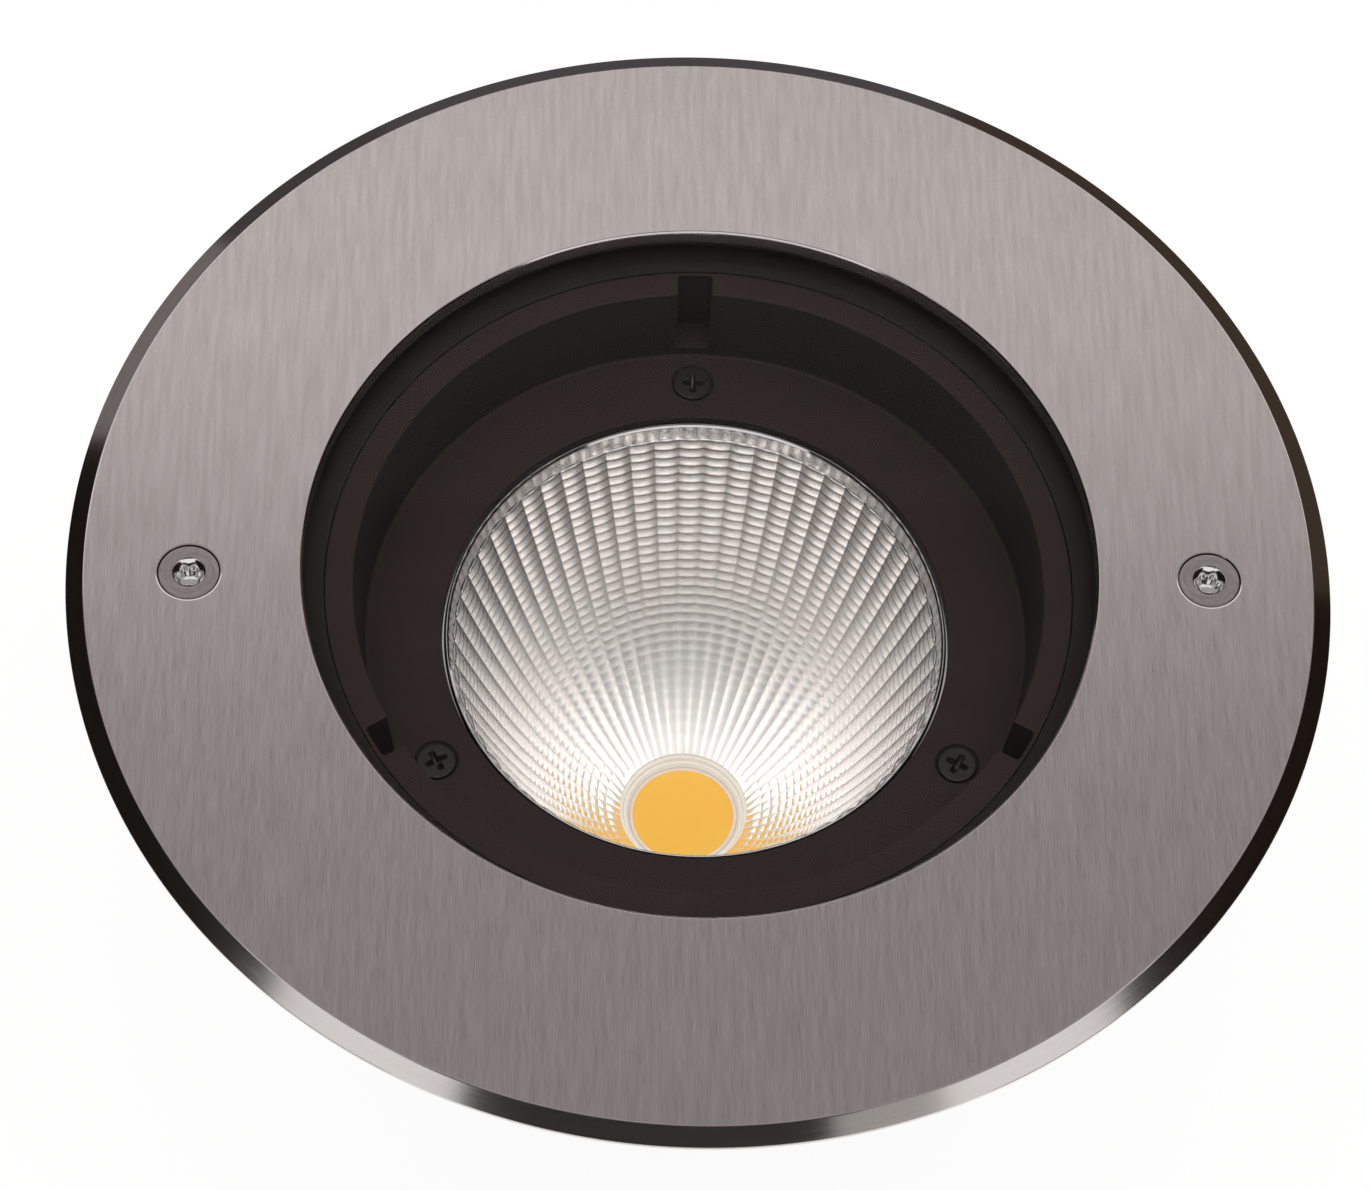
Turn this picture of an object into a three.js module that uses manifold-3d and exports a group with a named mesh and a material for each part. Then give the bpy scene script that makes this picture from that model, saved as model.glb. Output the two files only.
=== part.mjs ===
// Ground spotlight: a round uplight that is sunk into paving. A flat steel trim ring lies over
// walk-over glass, a black baffle and a deep faceted reflector with one round LED at its foot.
// A ribbed cast housing carries them, with the driver in a pot under the LED chamber.
// Millimetres, +Z up. The origin is the centre of the base, and the trim ring is on top.

import * as THREE from 'three';
import { mergeVertices, toCreasedNormals } from 'three/addons/utils/BufferGeometryUtils.js';
import Module from 'manifold-3d';

const wasm = await Module();
wasm.setup();

// Fits
const seatGap = 0.1; // between two flat faces that rest on each other
const fitGap = 0.3; // round a piece that drops in, slides or turns
const overrun = 2; // how far a cutting shape runs past the faces that it cuts

// Facets
const rimSides = 72;
const ringSides = 32;
const headSides = 24;
const tubeSides = 12;
const shankSides = 8;
const hexSides = 6;
const cornerSegments = 3;
const mergeTolerance = 1e-4;
const fullTurn = 2 * Math.PI;
const quarterTurn = fullTurn / 4;
const degree = fullTurn / 360;
const creaseAngle = 30 * degree;

// Trim ring
const trimRadius = 100;
const trimThickness = 3;
const trimBevelWidth = 2.9;
const trimBevelDrop = 1.5;
const trimFootChamfer = 0.9;
const trimEdgeBreak = 0.3;

// Trim screws, M5 countersunk, and the washers that keep them in the ring. Both sit a little
// round towards -Y, so that the ring goes on one way round only.
const trimScrewTurn = 2.2 * degree;
const trimHeadRadius = 4.85;
const trimHeadSink = 0.1;
const trimShankRadius = 2.5;
const trimScrewLength = 14;
const lobeCount = 6;
const lobeRadius = 2.5;
const lobeDepth = 1.9;
const retainerRim = 1.4;
const retainerThickness = 0.8;
const retainerPlay = 0.6;

// Clamp ring that holds the glass, with its M3 countersunk screws
const clampInset = 0.4;
const clampThickness = 3;
const clampLip = 1.2;
const clampScrewCount = 6;
const clampHeadRadius = 2.9;
const clampShankRadius = 1.5;
const clampScrewLength = 9;
const clampSocketRadius = 1.15;
const clampSocketDepth = 1.2;

// Glass and its gasket
const glassThickness = 4;
const glassEdge = 0.5;
const glassLift = 0.2;
const gasketThickness = 2;

// Baffle, with its ledge, three slots and three M3 countersunk screws
const ledgeThickness = 1.6;
const baffleDepth = 15.9;
const baffleWall = 1.6;
const baffleDraft = 1.4;
const baffleFloor = 1.5;
const slotCount = 3;
const slotWidth = 5.8;
const slotFloorLift = 1.9;
const slotBackWall = 0.6;
const baffleHeadRadius = 3.1;
const baffleSinkGap = 0.45;
const baffleShankRadius = 1.5;
const baffleScrewLength = 10;
const baffleBossRadius = 4.4;
const baffleBossDrop = 2;
const crossReach = 1.9;
const crossWidth = 1;
const crossDepth = 1.2;

// Reflector
const reflectorHeight = 61.5;
const reflectorNeck = 11.1;
const reflectorWall = 0.8;
const reflectorFlangeGap = 0.6;
const reflectorFlangeThickness = 1;
const reflectorRimSink = 0.9;
const reflectorLift = 2;
const facetColumns = 60;
const facetRows = 9;
const backRows = 3;

// LED board with its emitter, holder and thermal pad
const boardSide = 24;
const boardThickness = 1.6;
const padThickness = 0.4;
const emitterRadius = 8.8;
const emitterDam = 0.5;
const emitterThickness = 0.6;
const emitterInset = 0.2;
const holderRadius = 25;
const holderScrewCount = 2;
const holderHeadRadius = 2.9;
const holderShankRadius = 1.5;
const holderScrewLength = 8;

// Heat spreader and the standoffs that clamp it
const spreaderThickness = 6;
const standoffRadius = 3.2;
const studLength = 9;

// Housing
const housingWall = 3;
const chamberClearance = 1.7;
const potRadius = 35.5;
const potDepth = 22;
const webThickness = 3.5;
const webStep = 1.5;
const webChamfer = 4;
const shoulderSlope = 7;
const neckSlope = 5;
const rimBreak = 0.8;
const finCount = 20;
const finThickness = 2.5;
const finFootReach = 1;
const finKneeReach = 3;
const finHeadReach = 12.5;
const trimBossRadius = 6.5;
const trimBossDrop = 11;
const clampBossRadius = 3.6;
const clampBossDrop = 5;

// Base cover with its gasket and M4 countersunk screws
const coverReach = 8;
const coverThickness = 5;
const coverChamfer = 1;
const coverScrewCount = 4;
const coverHeadRadius = 3.75;
const coverShankRadius = 2;
const coverScrewLength = 14;
const coverSocketRadius = 1.45;
const coverSocketDepth = 1.6;
const coverBossRadius = 3.7;
const coverBossHeight = 12;
const coverGasketThickness = 1.5;
const coverGasketWidth = 2.1;

// Driver and terminal block
const driverWidth = 30;
const driverHeight = 18;
const driverCorner = 3;
const driverShift = 8;
const driverTabWidth = 9;
const driverTabThickness = 2;
const driverEndGap = 1.3;
const panHeadRadius = 2.8;
const panHeadHeight = 1.8;
const panShankRadius = 1.5;
const panGrip = 2.4;
const terminalLength = 24;
const terminalWidth = 10;
const terminalHeight = 12;
const terminalShift = 18;
const terminalCorner = 1;
const poleCount = 3;
const poleRadius = 1.6;

// LED leads
const leadRadius = 0.8;
const leadSpacing = 2.4;
const leadHoleRadius = 3.2;
const leadHoleReach = 5; // from the holder's edge to the middle of the hole
const leadRise = 2.2;
const leadDrop = 9;
const leadSteps = 11;
const leadSides = 8;

// Cable gland, PG9 size, and the pressure vent
const glandThreadRadius = 7.6;
const glandBore = 4.2;
const glandHexRadius = 9.8;
const glandFlange = 5;
const glandBarrel = 6.5;
const glandSealWall = 1.7;
const glandSealInset = 0.6;
const glandSealSquash = 0.3;
const glandWasher = 1;
const glandNutHexHeight = 8;
const glandNutDome = 5;
const glandNutTopRadius = 6.6;
const glandNutCap = 2;
const glandPadReach = 3;
const glandPadWidth = 23;
const glandPadInset = 1.6;
const locknutThickness = 3;
const glandThreadPastNut = 1;
const ventTurn = 150 * degree;
const ventPadRadius = 7;
const ventPadReach = 2;
const ventStemRadius = 4;
const ventHeadRadius = 6.4;
const ventHeadHeight = 3.5;
const ventStemPast = 1.5;
const ventEdge = 0.6;

// The rings' radii, of the trim ring's
const trimScrewShare = 0.806;
const clampShare = 0.745;
const glassShare = 0.66;
const trimHoleShare = 0.628;
const baffleShare = 0.596;
const ledgeShare = 0.551;
const baffleScrewShare = 0.481;
const baffleOpeningShare = 0.412;
const reflectorMouthShare = 0.401;

// Small shares of a size
const tipShare = 0.25; // chamfer at a screw's tip, of its shank radius
const landShare = 0.08; // straight rim of a countersunk head, of its radius
const holderScrewShare = 0.7; // circle of the holder's screws, of its radius
const lobeValleyShare = 0.74; // six-lobe drive between its lobes, of its radius

// Heights, from the base up
const coverTop = coverThickness;
const potRim = coverTop + seatGap;
const potCeiling = potRim + potDepth;
const webLow = potCeiling - webStep;
const webTop = potCeiling + webThickness;
const spreaderLow = webTop + seatGap;
const spreaderTop = spreaderLow + spreaderThickness;
const padLow = spreaderTop + seatGap;
const padTop = padLow + padThickness;
const boardLow = padTop + seatGap;
const boardTop = boardLow + boardThickness;
const emitterLow = boardTop + seatGap;
const emitterTop = emitterLow + emitterThickness;
const reflectorLow = emitterTop + reflectorLift;
const reflectorTop = reflectorLow + reflectorHeight;
const holderLow = spreaderTop + seatGap;
const holderTop = reflectorLow - seatGap;
const floorTop = reflectorTop + reflectorRimSink;
const floorLow = floorTop - baffleFloor;
const ledgeTop = floorTop + baffleDepth;
const slotFloor = floorTop + slotFloorLift;
const shoulderTop = floorLow - seatGap;
const standoffTop = floorLow - baffleBossDrop - seatGap;
const standoffLow = spreaderTop + seatGap;
const glassLow = ledgeTop + glassLift;
const glassTop = glassLow + glassThickness;
const gasketTop = glassLow - seatGap;
const gasketLow = gasketTop - gasketThickness;
const seatTop = gasketLow - seatGap;
const seatLow = seatTop - housingWall;
const clampLipLow = glassTop + seatGap;
const clampTop = clampLipLow + clampLip;
const clampLow = clampTop - clampThickness;
const recessFloor = clampLow - seatGap;
const flangeLow = recessFloor - housingWall;
const rimTop = clampTop;
const trimLow = rimTop + seatGap;
const trimTop = trimLow + trimThickness;

// Radii that follow from the trim ring's
const trimScrewCircle = trimRadius * trimScrewShare;
const clampRadius = trimRadius * clampShare;
const glassRadius = trimRadius * glassShare;
const trimHoleRadius = trimRadius * trimHoleShare;
const baffleRadius = trimRadius * baffleShare;
const ledgeRadius = trimRadius * ledgeShare;
const baffleScrewCircle = trimRadius * baffleScrewShare;
const baffleOpening = trimRadius * baffleOpeningShare;
const reflectorMouth = trimRadius * reflectorMouthShare;

// Radii that follow from what sits inside
const boreRadius = baffleRadius + fitGap;
const boreOuter = boreRadius + housingWall;
const glassPocket = glassRadius + fitGap;
const neckOuter = glassPocket + housingWall;
const clampHole = trimHoleRadius + clampInset;
const clampPocket = clampRadius + fitGap;
const clampScrewCircle = (glassPocket + clampRadius) / 2;
const rimRadius = trimScrewCircle + trimBossRadius;
const chamberRadius = baffleScrewCircle + standoffRadius + chamberClearance;
const chamberOuter = chamberRadius + housingWall;
const spreaderRadius = chamberRadius - fitGap;
const floorRadius = ledgeRadius - baffleDraft;
const potOuter = potRadius + housingWall;
const coverRadius = potRadius + coverReach;
const leadHoleCircle = holderRadius + leadHoleReach;
const holderScrewCircle = holderRadius * holderScrewShare;
const coverScrewCircle = coverRadius - coverBossRadius;
const glandHeight = (coverTop + webLow) / 2;
const glandFace = potOuter + glandPadReach;
const ventFace = potOuter + ventPadReach;

// Distances of the gland's parts from its pad's face
const glandFlangeLow = glandWasher + 2 * seatGap;
const glandFlangeHigh = glandFlangeLow + glandFlange;
const glandNutLow = glandFlangeHigh + seatGap;
const locknutFace = glandFace - (potRadius - glandPadInset) + seatGap;

// Where the patterns of screws start, and the places of the screws in the web
const clampTurn = fullTurn / clampScrewCount / 2;
const coverTurn = fullTurn / coverScrewCount / 2;
const baffleTurn = quarterTurn;
const trimScrewTurns = { left: 2 * quarterTurn + trimScrewTurn, right: -trimScrewTurn };
const driverTabReach = Math.sqrt(potRadius ** 2 - (driverShift + driverTabWidth / 2) ** 2) - driverEndGap;
const driverScrewReach = driverTabReach - panHeadRadius;
const driverLength = 2 * (driverScrewReach - panHeadRadius - fitGap);
const driverScrewPlaces = [[-driverScrewReach, -driverShift], [driverScrewReach, -driverShift]];
const terminalScrewPlace = [0, terminalShift];

// A closed geometry as a solid, with its shared corners merged and its faces turned outwards
function solid(geometry) {
  const bare = geometry.clone();
  bare.deleteAttribute('normal');
  bare.deleteAttribute('uv');
  const merged = mergeVertices(bare, mergeTolerance);
  const vertProperties = merged.getAttribute('position').array;
  const triVerts = fullTriangles(merged.index.array);
  if (signedVolume(vertProperties, triVerts) < 0) triVerts.reverse();
  return new wasm.Manifold(new wasm.Mesh({ numProp: 3, vertProperties, triVerts }));
}

// The triangles that still have three separate corners
function fullTriangles(index) {
  const kept = [];
  for (let i = 0; i < index.length; i += 3) {
    const [a, b, c] = index.slice(i, i + 3);
    if (a !== b && b !== c && c !== a) kept.push(a, b, c);
  }
  return new Uint32Array(kept);
}

// Six times the volume that the triangles hold, below zero if they face inwards
function signedVolume(corners, triangles) {
  const [a, b, c] = [new THREE.Vector3(), new THREE.Vector3(), new THREE.Vector3()];
  let total = 0;
  for (let i = 0; i < triangles.length; i += 3) {
    a.fromArray(corners, 3 * triangles[i]);
    b.fromArray(corners, 3 * triangles[i + 1]);
    c.fromArray(corners, 3 * triangles[i + 2]);
    total += a.dot(b.cross(c));
  }
  return total;
}

// A solid as a geometry that a mesh can show
function surface(body) {
  const { vertProperties, triVerts } = body.getMesh();
  const geometry = new THREE.BufferGeometry();
  geometry.setAttribute('position', new THREE.BufferAttribute(vertProperties, 3));
  geometry.setIndex(new THREE.BufferAttribute(triVerts, 1));
  return toCreasedNormals(geometry, creaseAngle);
}

function joined(geometries) {
  return geometries.map(solid).reduce((body, next) => body.add(next));
}

function carved(body, cutters) {
  return cutters.map(solid).reduce((rest, cutter) => rest.subtract(cutter), body);
}

// An open profile of [radius, height] points that starts and ends on the axis, spun round Z
function spun(profile, sides) {
  const points = profile.map(([radius, height]) => new THREE.Vector2(radius, height));
  return new THREE.LatheGeometry(points, sides).rotateX(quarterTurn);
}

// A closed profile spun round Z
function ring(profile, sides) {
  return spun([...profile, profile[0]], sides);
}

function rod(radius, low, high, sides) {
  return spun([[0, low], [radius, low], [radius, high], [0, high]], sides);
}

function tube(inner, outer, low, high, sides) {
  return ring([[inner, low], [outer, low], [outer, high], [inner, high]], sides);
}

// A flat outline raised from one height to another
function prism(outline, low, high) {
  const geometry = new THREE.ExtrudeGeometry(outline, {
    depth: high - low,
    bevelEnabled: false,
    curveSegments: cornerSegments,
  });
  return geometry.translate(0, 0, low);
}

function outline(points) {
  return new THREE.Shape(points.map(([x, y]) => new THREE.Vector2(x, y)));
}

// Corners of a regular polygon, the first one on +X
function polygon(radius, sides) {
  return outline(Array.from({ length: sides }, (_, i) => {
    const angle = i * fullTurn / sides;
    return [radius * Math.cos(angle), radius * Math.sin(angle)];
  }));
}

function box(lowX, highX, lowY, highY, low, high) {
  const corners = [[lowX, lowY], [highX, lowY], [highX, highY], [lowX, highY]];
  return prism(outline(corners), low, high);
}

function roundedRectangle(length, width, corner) {
  const [x, y] = [length / 2, width / 2];
  const shape = new THREE.Shape();
  shape.moveTo(corner - x, -y);
  shape.absarc(x - corner, corner - y, corner, -quarterTurn, 0);
  shape.absarc(x - corner, y - corner, corner, 0, quarterTurn);
  shape.absarc(corner - x, y - corner, corner, quarterTurn, 2 * quarterTurn);
  shape.absarc(corner - x, corner - y, corner, 2 * quarterTurn, 3 * quarterTurn);
  return shape;
}

// The same piece made again at equal turns round Z
function around(count, firstTurn, make) {
  return Array.from({ length: count }, (_, i) => make().rotateZ(firstTurn + i * fullTurn / count));
}

// The same piece at equal turns on a circle round Z
function onCircle(count, firstTurn, circle, make) {
  return around(count, firstTurn, () => make().translate(circle, 0, 0));
}

// The same piece at both trim screws
function atTrimScrews(make) {
  return Object.values(trimScrewTurns).map((turn) => make().translate(trimScrewCircle, 0, 0).rotateZ(turn));
}

// A countersunk hole along -Z, from its mouth down to its end
function countersink(mouthRadius, holeRadius, mouth, end, sides) {
  const coneTop = mouth - mouthRadius * landShare - seatGap;
  return spun([
    [0, end],
    [holeRadius, end],
    [holeRadius, coneTop - (mouthRadius - holeRadius)],
    [mouthRadius, coneTop],
    [mouthRadius, mouth + overrun],
    [0, mouth + overrun],
  ], sides);
}

// A countersunk screw along -Z with its head's face at zero
function countersunkScrew(headRadius, shankRadius, length, sides) {
  const tip = shankRadius * tipShare;
  const land = headRadius * landShare;
  return spun([
    [0, -length],
    [shankRadius - tip, -length],
    [shankRadius, tip - length],
    [shankRadius, shankRadius - headRadius - land],
    [headRadius, -land],
    [headRadius, 0],
    [0, 0],
  ], sides);
}

// A pan-head screw along +Z with the face under its head at zero
function panScrew(length) {
  const tip = panShankRadius * tipShare;
  return spun([
    [0, -panHeadHeight],
    [panHeadRadius - tip, -panHeadHeight],
    [panHeadRadius, tip - panHeadHeight],
    [panHeadRadius, 0],
    [panShankRadius, 0],
    [panShankRadius, length - tip],
    [panShankRadius - tip, length],
    [0, length],
  ], shankSides);
}

function driven(screw, drive) {
  return surface(carved(solid(screw), [drive]));
}

function hexSocket(radius, depth) {
  return prism(polygon(radius, hexSides), -depth, overrun);
}

// A six-lobe recess, its radius a wave round the axis
function lobedRecess() {
  const mean = lobeRadius * (1 + lobeValleyShare) / 2;
  const swing = lobeRadius * (1 - lobeValleyShare) / 2;
  const points = Array.from({ length: headSides }, (_, i) => {
    const angle = i * fullTurn / headSides;
    const radius = mean + swing * Math.cos(lobeCount * angle);
    return [radius * Math.cos(angle), radius * Math.sin(angle)];
  });
  return prism(outline(points), -lobeDepth, overrun);
}

// A cross recess of two crossing slots, its twelve corners taken from one arm turned round
function crossRecess() {
  const [side, tip] = [crossWidth / 2, crossReach];
  const arm = [[tip, -side], [tip, side], [side, side]];
  const turns = [[1, 0], [0, 1], [-1, 0], [0, -1]];
  const turned = (cos, sin) => arm.map(([x, y]) => [x * cos - y * sin, x * sin + y * cos]);
  return prism(outline(turns.flatMap(([cos, sin]) => turned(cos, sin))), -crossDepth, overrun);
}

function trimRing() {
  const blank = ring([
    [trimHoleRadius, trimLow],
    [trimRadius - trimFootChamfer, trimLow],
    [trimRadius, trimLow + trimFootChamfer],
    [trimRadius, trimTop - trimBevelDrop],
    [trimRadius - trimBevelWidth, trimTop],
    [trimHoleRadius + trimEdgeBreak, trimTop],
    [trimHoleRadius, trimTop - trimEdgeBreak],
  ], rimSides);
  const mouth = trimHeadRadius + fitGap;
  const bore = trimShankRadius + fitGap;
  const sink = () => countersink(mouth, bore, trimTop, trimLow - overrun, headSides);
  return surface(carved(solid(blank), atTrimScrews(sink)));
}

function trimScrew(turn) {
  const screw = countersunkScrew(trimHeadRadius, trimShankRadius, trimScrewLength, headSides);
  return driven(screw, lobedRecess()).translate(trimScrewCircle, 0, trimTop - trimHeadSink).rotateZ(turn);
}

function screwRetainer(turn) {
  const inner = trimShankRadius + fitGap / 2;
  const top = trimLow - seatGap;
  const washer = tube(inner, inner + retainerRim, top - retainerThickness, top, tubeSides);
  return washer.translate(trimScrewCircle, 0, 0).rotateZ(turn);
}

function clampRing() {
  const blank = ring([
    [clampHole, clampLipLow],
    [glassPocket, clampLipLow],
    [glassPocket, clampLow],
    [clampRadius, clampLow],
    [clampRadius, clampTop],
    [clampHole, clampTop],
  ], ringSides);
  const mouth = clampHeadRadius + fitGap;
  const bore = clampShankRadius + fitGap;
  const sink = () => countersink(mouth, bore, clampTop, clampLow - overrun, shankSides);
  return surface(carved(solid(blank), onCircle(clampScrewCount, clampTurn, clampScrewCircle, sink)));
}

function glass() {
  return spun([
    [0, glassLow],
    [glassRadius - glassEdge, glassLow],
    [glassRadius, glassLow + glassEdge],
    [glassRadius, glassTop - glassEdge],
    [glassRadius - glassEdge, glassTop],
    [0, glassTop],
  ], ringSides);
}

function glassGasket() {
  return tube(boreRadius, glassRadius, gasketLow, gasketTop, ringSides);
}

// The housing's wall all in one profile: pot, web, LED chamber, baffle bore, glass seat and rim
function housingBlank() {
  return spun([
    [0, potCeiling],
    [potRadius, potCeiling],
    [potRadius, potRim],
    [potOuter, potRim],
    [potOuter, webLow],
    [chamberOuter - webChamfer, webLow],
    [chamberOuter, webLow + webChamfer],
    [chamberOuter, shoulderTop - shoulderSlope],
    [boreOuter, shoulderTop],
    [boreOuter, seatLow - neckSlope],
    [neckOuter, seatLow],
    [neckOuter, flangeLow],
    [rimRadius, flangeLow],
    [rimRadius, rimTop - rimBreak],
    [rimRadius - rimBreak, rimTop],
    [clampPocket, rimTop],
    [clampPocket, recessFloor],
    [glassPocket, recessFloor],
    [glassPocket, seatTop],
    [boreRadius, seatTop],
    [boreRadius, shoulderTop],
    [chamberRadius, shoulderTop],
    [chamberRadius, webTop],
    [0, webTop],
  ], ringSides);
}

// One cooling fin, which stands on the web's edge, follows the wall and carries the flange
function coolingFin() {
  const inChamber = chamberRadius + housingWall / 2;
  const inBore = boreRadius + housingWall / 2;
  const finFoot = webLow + webChamfer + finFootReach;
  const finHead = flangeLow + housingWall / 2;
  const inSeat = seatTop - housingWall / 2;
  const fin = prism(outline([
    [inChamber, finFoot],
    [chamberOuter + finFootReach, finFoot],
    [boreOuter + finKneeReach, shoulderTop],
    [neckOuter + finHeadReach, finHead],
    [glassPocket + housingWall / 2, finHead],
    [glassPocket + housingWall / 2, inSeat],
    [inBore, inSeat],
    [inBore, shoulderTop + housingWall / 2],
    [inChamber, shoulderTop - housingWall],
  ]), 0, finThickness);
  return fin.rotateX(quarterTurn).translate(0, finThickness / 2, 0);
}

function clampBoss() {
  return rod(clampBossRadius, flangeLow - clampBossDrop, flangeLow + housingWall / 2, tubeSides);
}

function trimBoss() {
  return rod(trimBossRadius, flangeLow - trimBossDrop, flangeLow + housingWall / 2, tubeSides);
}

function coverBoss() {
  return rod(coverBossRadius, potRim, potRim + coverBossHeight, tubeSides);
}

// Flat pads on the pot's wall, outside for the gland's flange and inside for its locknut
function glandPad() {
  const half = glandPadWidth / 2;
  return box(potRadius - glandPadInset, glandFace, -half, half, potRim, potCeiling).rotateZ(quarterTurn);
}

// A rod through the pot's wall between two distances from the axis, turned to its place
function sideRod(radius, near, far, turn) {
  return rod(radius, near, far, tubeSides).rotateY(quarterTurn).translate(0, 0, glandHeight).rotateZ(turn);
}

function housing() {
  const ventPad = sideRod(ventPadRadius, potRadius + housingWall / 2, ventFace, ventTurn);
  const blank = joined([
    housingBlank(),
    ...around(finCount, fullTurn / finCount / 2, coolingFin),
    ...Object.values(trimScrewTurns).map((turn) => coolingFin().rotateZ(turn)),
    ...onCircle(clampScrewCount, clampTurn, clampScrewCircle, clampBoss),
    ...atTrimScrews(trimBoss),
    ...onCircle(coverScrewCount, coverTurn, coverScrewCircle, coverBoss),
    glandPad(),
    ventPad,
  ]);
  return surface(carved(blank, housingHoles()));
}

function housingHoles() {
  const retainerRadius = trimShankRadius + fitGap + retainerRim + fitGap;
  const retainerFloor = rimTop - retainerThickness - retainerPlay;
  const trimEnd = trimTop - trimScrewLength - trimShankRadius;
  const clampEnd = clampTop - clampScrewLength - clampShankRadius / 2;
  const coverEnd = coverScrewLength + coverShankRadius;
  const studEnd = standoffLow - studLength - seatGap;
  const retainerWell = () => rod(retainerRadius, retainerFloor, rimTop + overrun, tubeSides);
  const trimHole = () => rod(trimShankRadius + fitGap, trimEnd, rimTop, shankSides);
  const clampHoleDown = () => rod(clampShankRadius + fitGap, clampEnd, recessFloor + overrun, shankSides);
  const coverHole = () => rod(coverShankRadius + fitGap, potRim - overrun, coverEnd, shankSides);
  const studHole = () => rod(baffleShankRadius + fitGap, studEnd, webTop + overrun, shankSides);
  return [
    ...atTrimScrews(retainerWell),
    ...atTrimScrews(trimHole),
    ...onCircle(clampScrewCount, clampTurn, clampScrewCircle, clampHoleDown),
    ...onCircle(coverScrewCount, coverTurn, coverScrewCircle, coverHole),
    ...onCircle(slotCount, baffleTurn, baffleScrewCircle, studHole),
    leadHole(potCeiling - overrun, webTop + overrun),
    ...driverScrewPlaces.map(([x, y]) => panHole(x, y)),
    panHole(...terminalScrewPlace),
    sideRod(glandThreadRadius + fitGap, potRadius / 2, glandFace + overrun, quarterTurn),
    sideRod(ventStemRadius + fitGap, potRadius / 2, ventFace + overrun, ventTurn),
  ];
}

function leadHole(low, high) {
  return rod(leadHoleRadius, low, high, shankSides).translate(0, -leadHoleCircle, 0);
}

// A blind hole up into the web for one of the pan-head screws
function panHole(x, y) {
  const hole = rod(panShankRadius + fitGap, potCeiling - overrun, potCeiling + panGrip + fitGap, shankSides);
  return hole.translate(x, y, 0);
}

// A pocket wall that carries one of the slots down the baffle's side
function slotPocket() {
  const half = slotWidth / 2 + baffleWall;
  const reach = Math.sqrt(baffleRadius ** 2 - half ** 2);
  return box(floorRadius, reach, -half, half, slotFloor - baffleWall, ledgeTop);
}

function slotCut() {
  const half = slotWidth / 2;
  const reach = Math.sqrt(baffleRadius ** 2 - half ** 2) - slotBackWall;
  return box(floorRadius - overrun, reach, -half, half, slotFloor, ledgeTop + overrun);
}

// The space over the baffle's floor, which trims the pockets flush with the wall
function baffleHollow() {
  return spun([
    [0, floorTop],
    [floorRadius, floorTop],
    [ledgeRadius, ledgeTop],
    [ledgeRadius, ledgeTop + overrun],
    [0, ledgeTop + overrun],
  ], ringSides);
}

function baffle() {
  const ringBlank = ring([
    [baffleOpening, floorLow],
    [floorRadius + baffleWall, floorLow],
    [ledgeRadius + baffleWall, ledgeTop - ledgeThickness],
    [baffleRadius, ledgeTop - ledgeThickness],
    [baffleRadius, ledgeTop],
    [ledgeRadius, ledgeTop],
    [floorRadius, floorTop],
    [baffleOpening, floorTop],
  ], ringSides);
  const boss = () => rod(baffleBossRadius, floorLow - baffleBossDrop, floorLow + baffleFloor / 2, tubeSides);
  const mouth = baffleHeadRadius + baffleSinkGap;
  const hole = baffleShankRadius + fitGap;
  const end = floorLow - baffleBossDrop - overrun;
  const sink = () => countersink(mouth, hole, floorTop, end, tubeSides);
  const blank = joined([
    ringBlank,
    ...onCircle(slotCount, baffleTurn, baffleScrewCircle, boss),
    ...around(slotCount, baffleTurn, slotPocket),
  ]);
  return surface(carved(blank, [
    baffleHollow(),
    ...around(slotCount, baffleTurn, slotCut),
    ...onCircle(slotCount, baffleTurn, baffleScrewCircle, sink),
  ]));
}

function baffleScrew(i) {
  const screw = countersunkScrew(baffleHeadRadius, baffleShankRadius, baffleScrewLength, tubeSides);
  const turn = baffleTurn + i * fullTurn / slotCount;
  return driven(screw, crossRecess()).translate(baffleScrewCircle, 0, floorTop).rotateZ(turn);
}

// A hexagonal pillar whose lower stud clamps the heat spreader to the web
function standoff(i) {
  const stud = baffleShankRadius;
  const well = baffleShankRadius + fitGap;
  const wellFloor = floorTop - baffleScrewLength - baffleShankRadius;
  const pillar = prism(polygon(standoffRadius, hexSides), standoffLow, standoffTop);
  const blank = solid(pillar).add(solid(rod(stud, standoffLow - studLength, standoffLow + stud, shankSides)));
  const bored = carved(blank, [rod(well, wellFloor, standoffTop + overrun, shankSides)]);
  return surface(bored).translate(baffleScrewCircle, 0, 0).rotateZ(baffleTurn + i * fullTurn / slotCount);
}

// The mirror is a parabola: its radius squared grows evenly from the neck to the mouth
function mirrorRadius(height) {
  const share = (height - reflectorLow) / reflectorHeight;
  return Math.sqrt(reflectorNeck ** 2 + share * (reflectorMouth ** 2 - reflectorNeck ** 2));
}

function mirrorHeight(radius) {
  const share = (radius ** 2 - reflectorNeck ** 2) / (reflectorMouth ** 2 - reflectorNeck ** 2);
  return reflectorLow + share * reflectorHeight;
}

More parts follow.
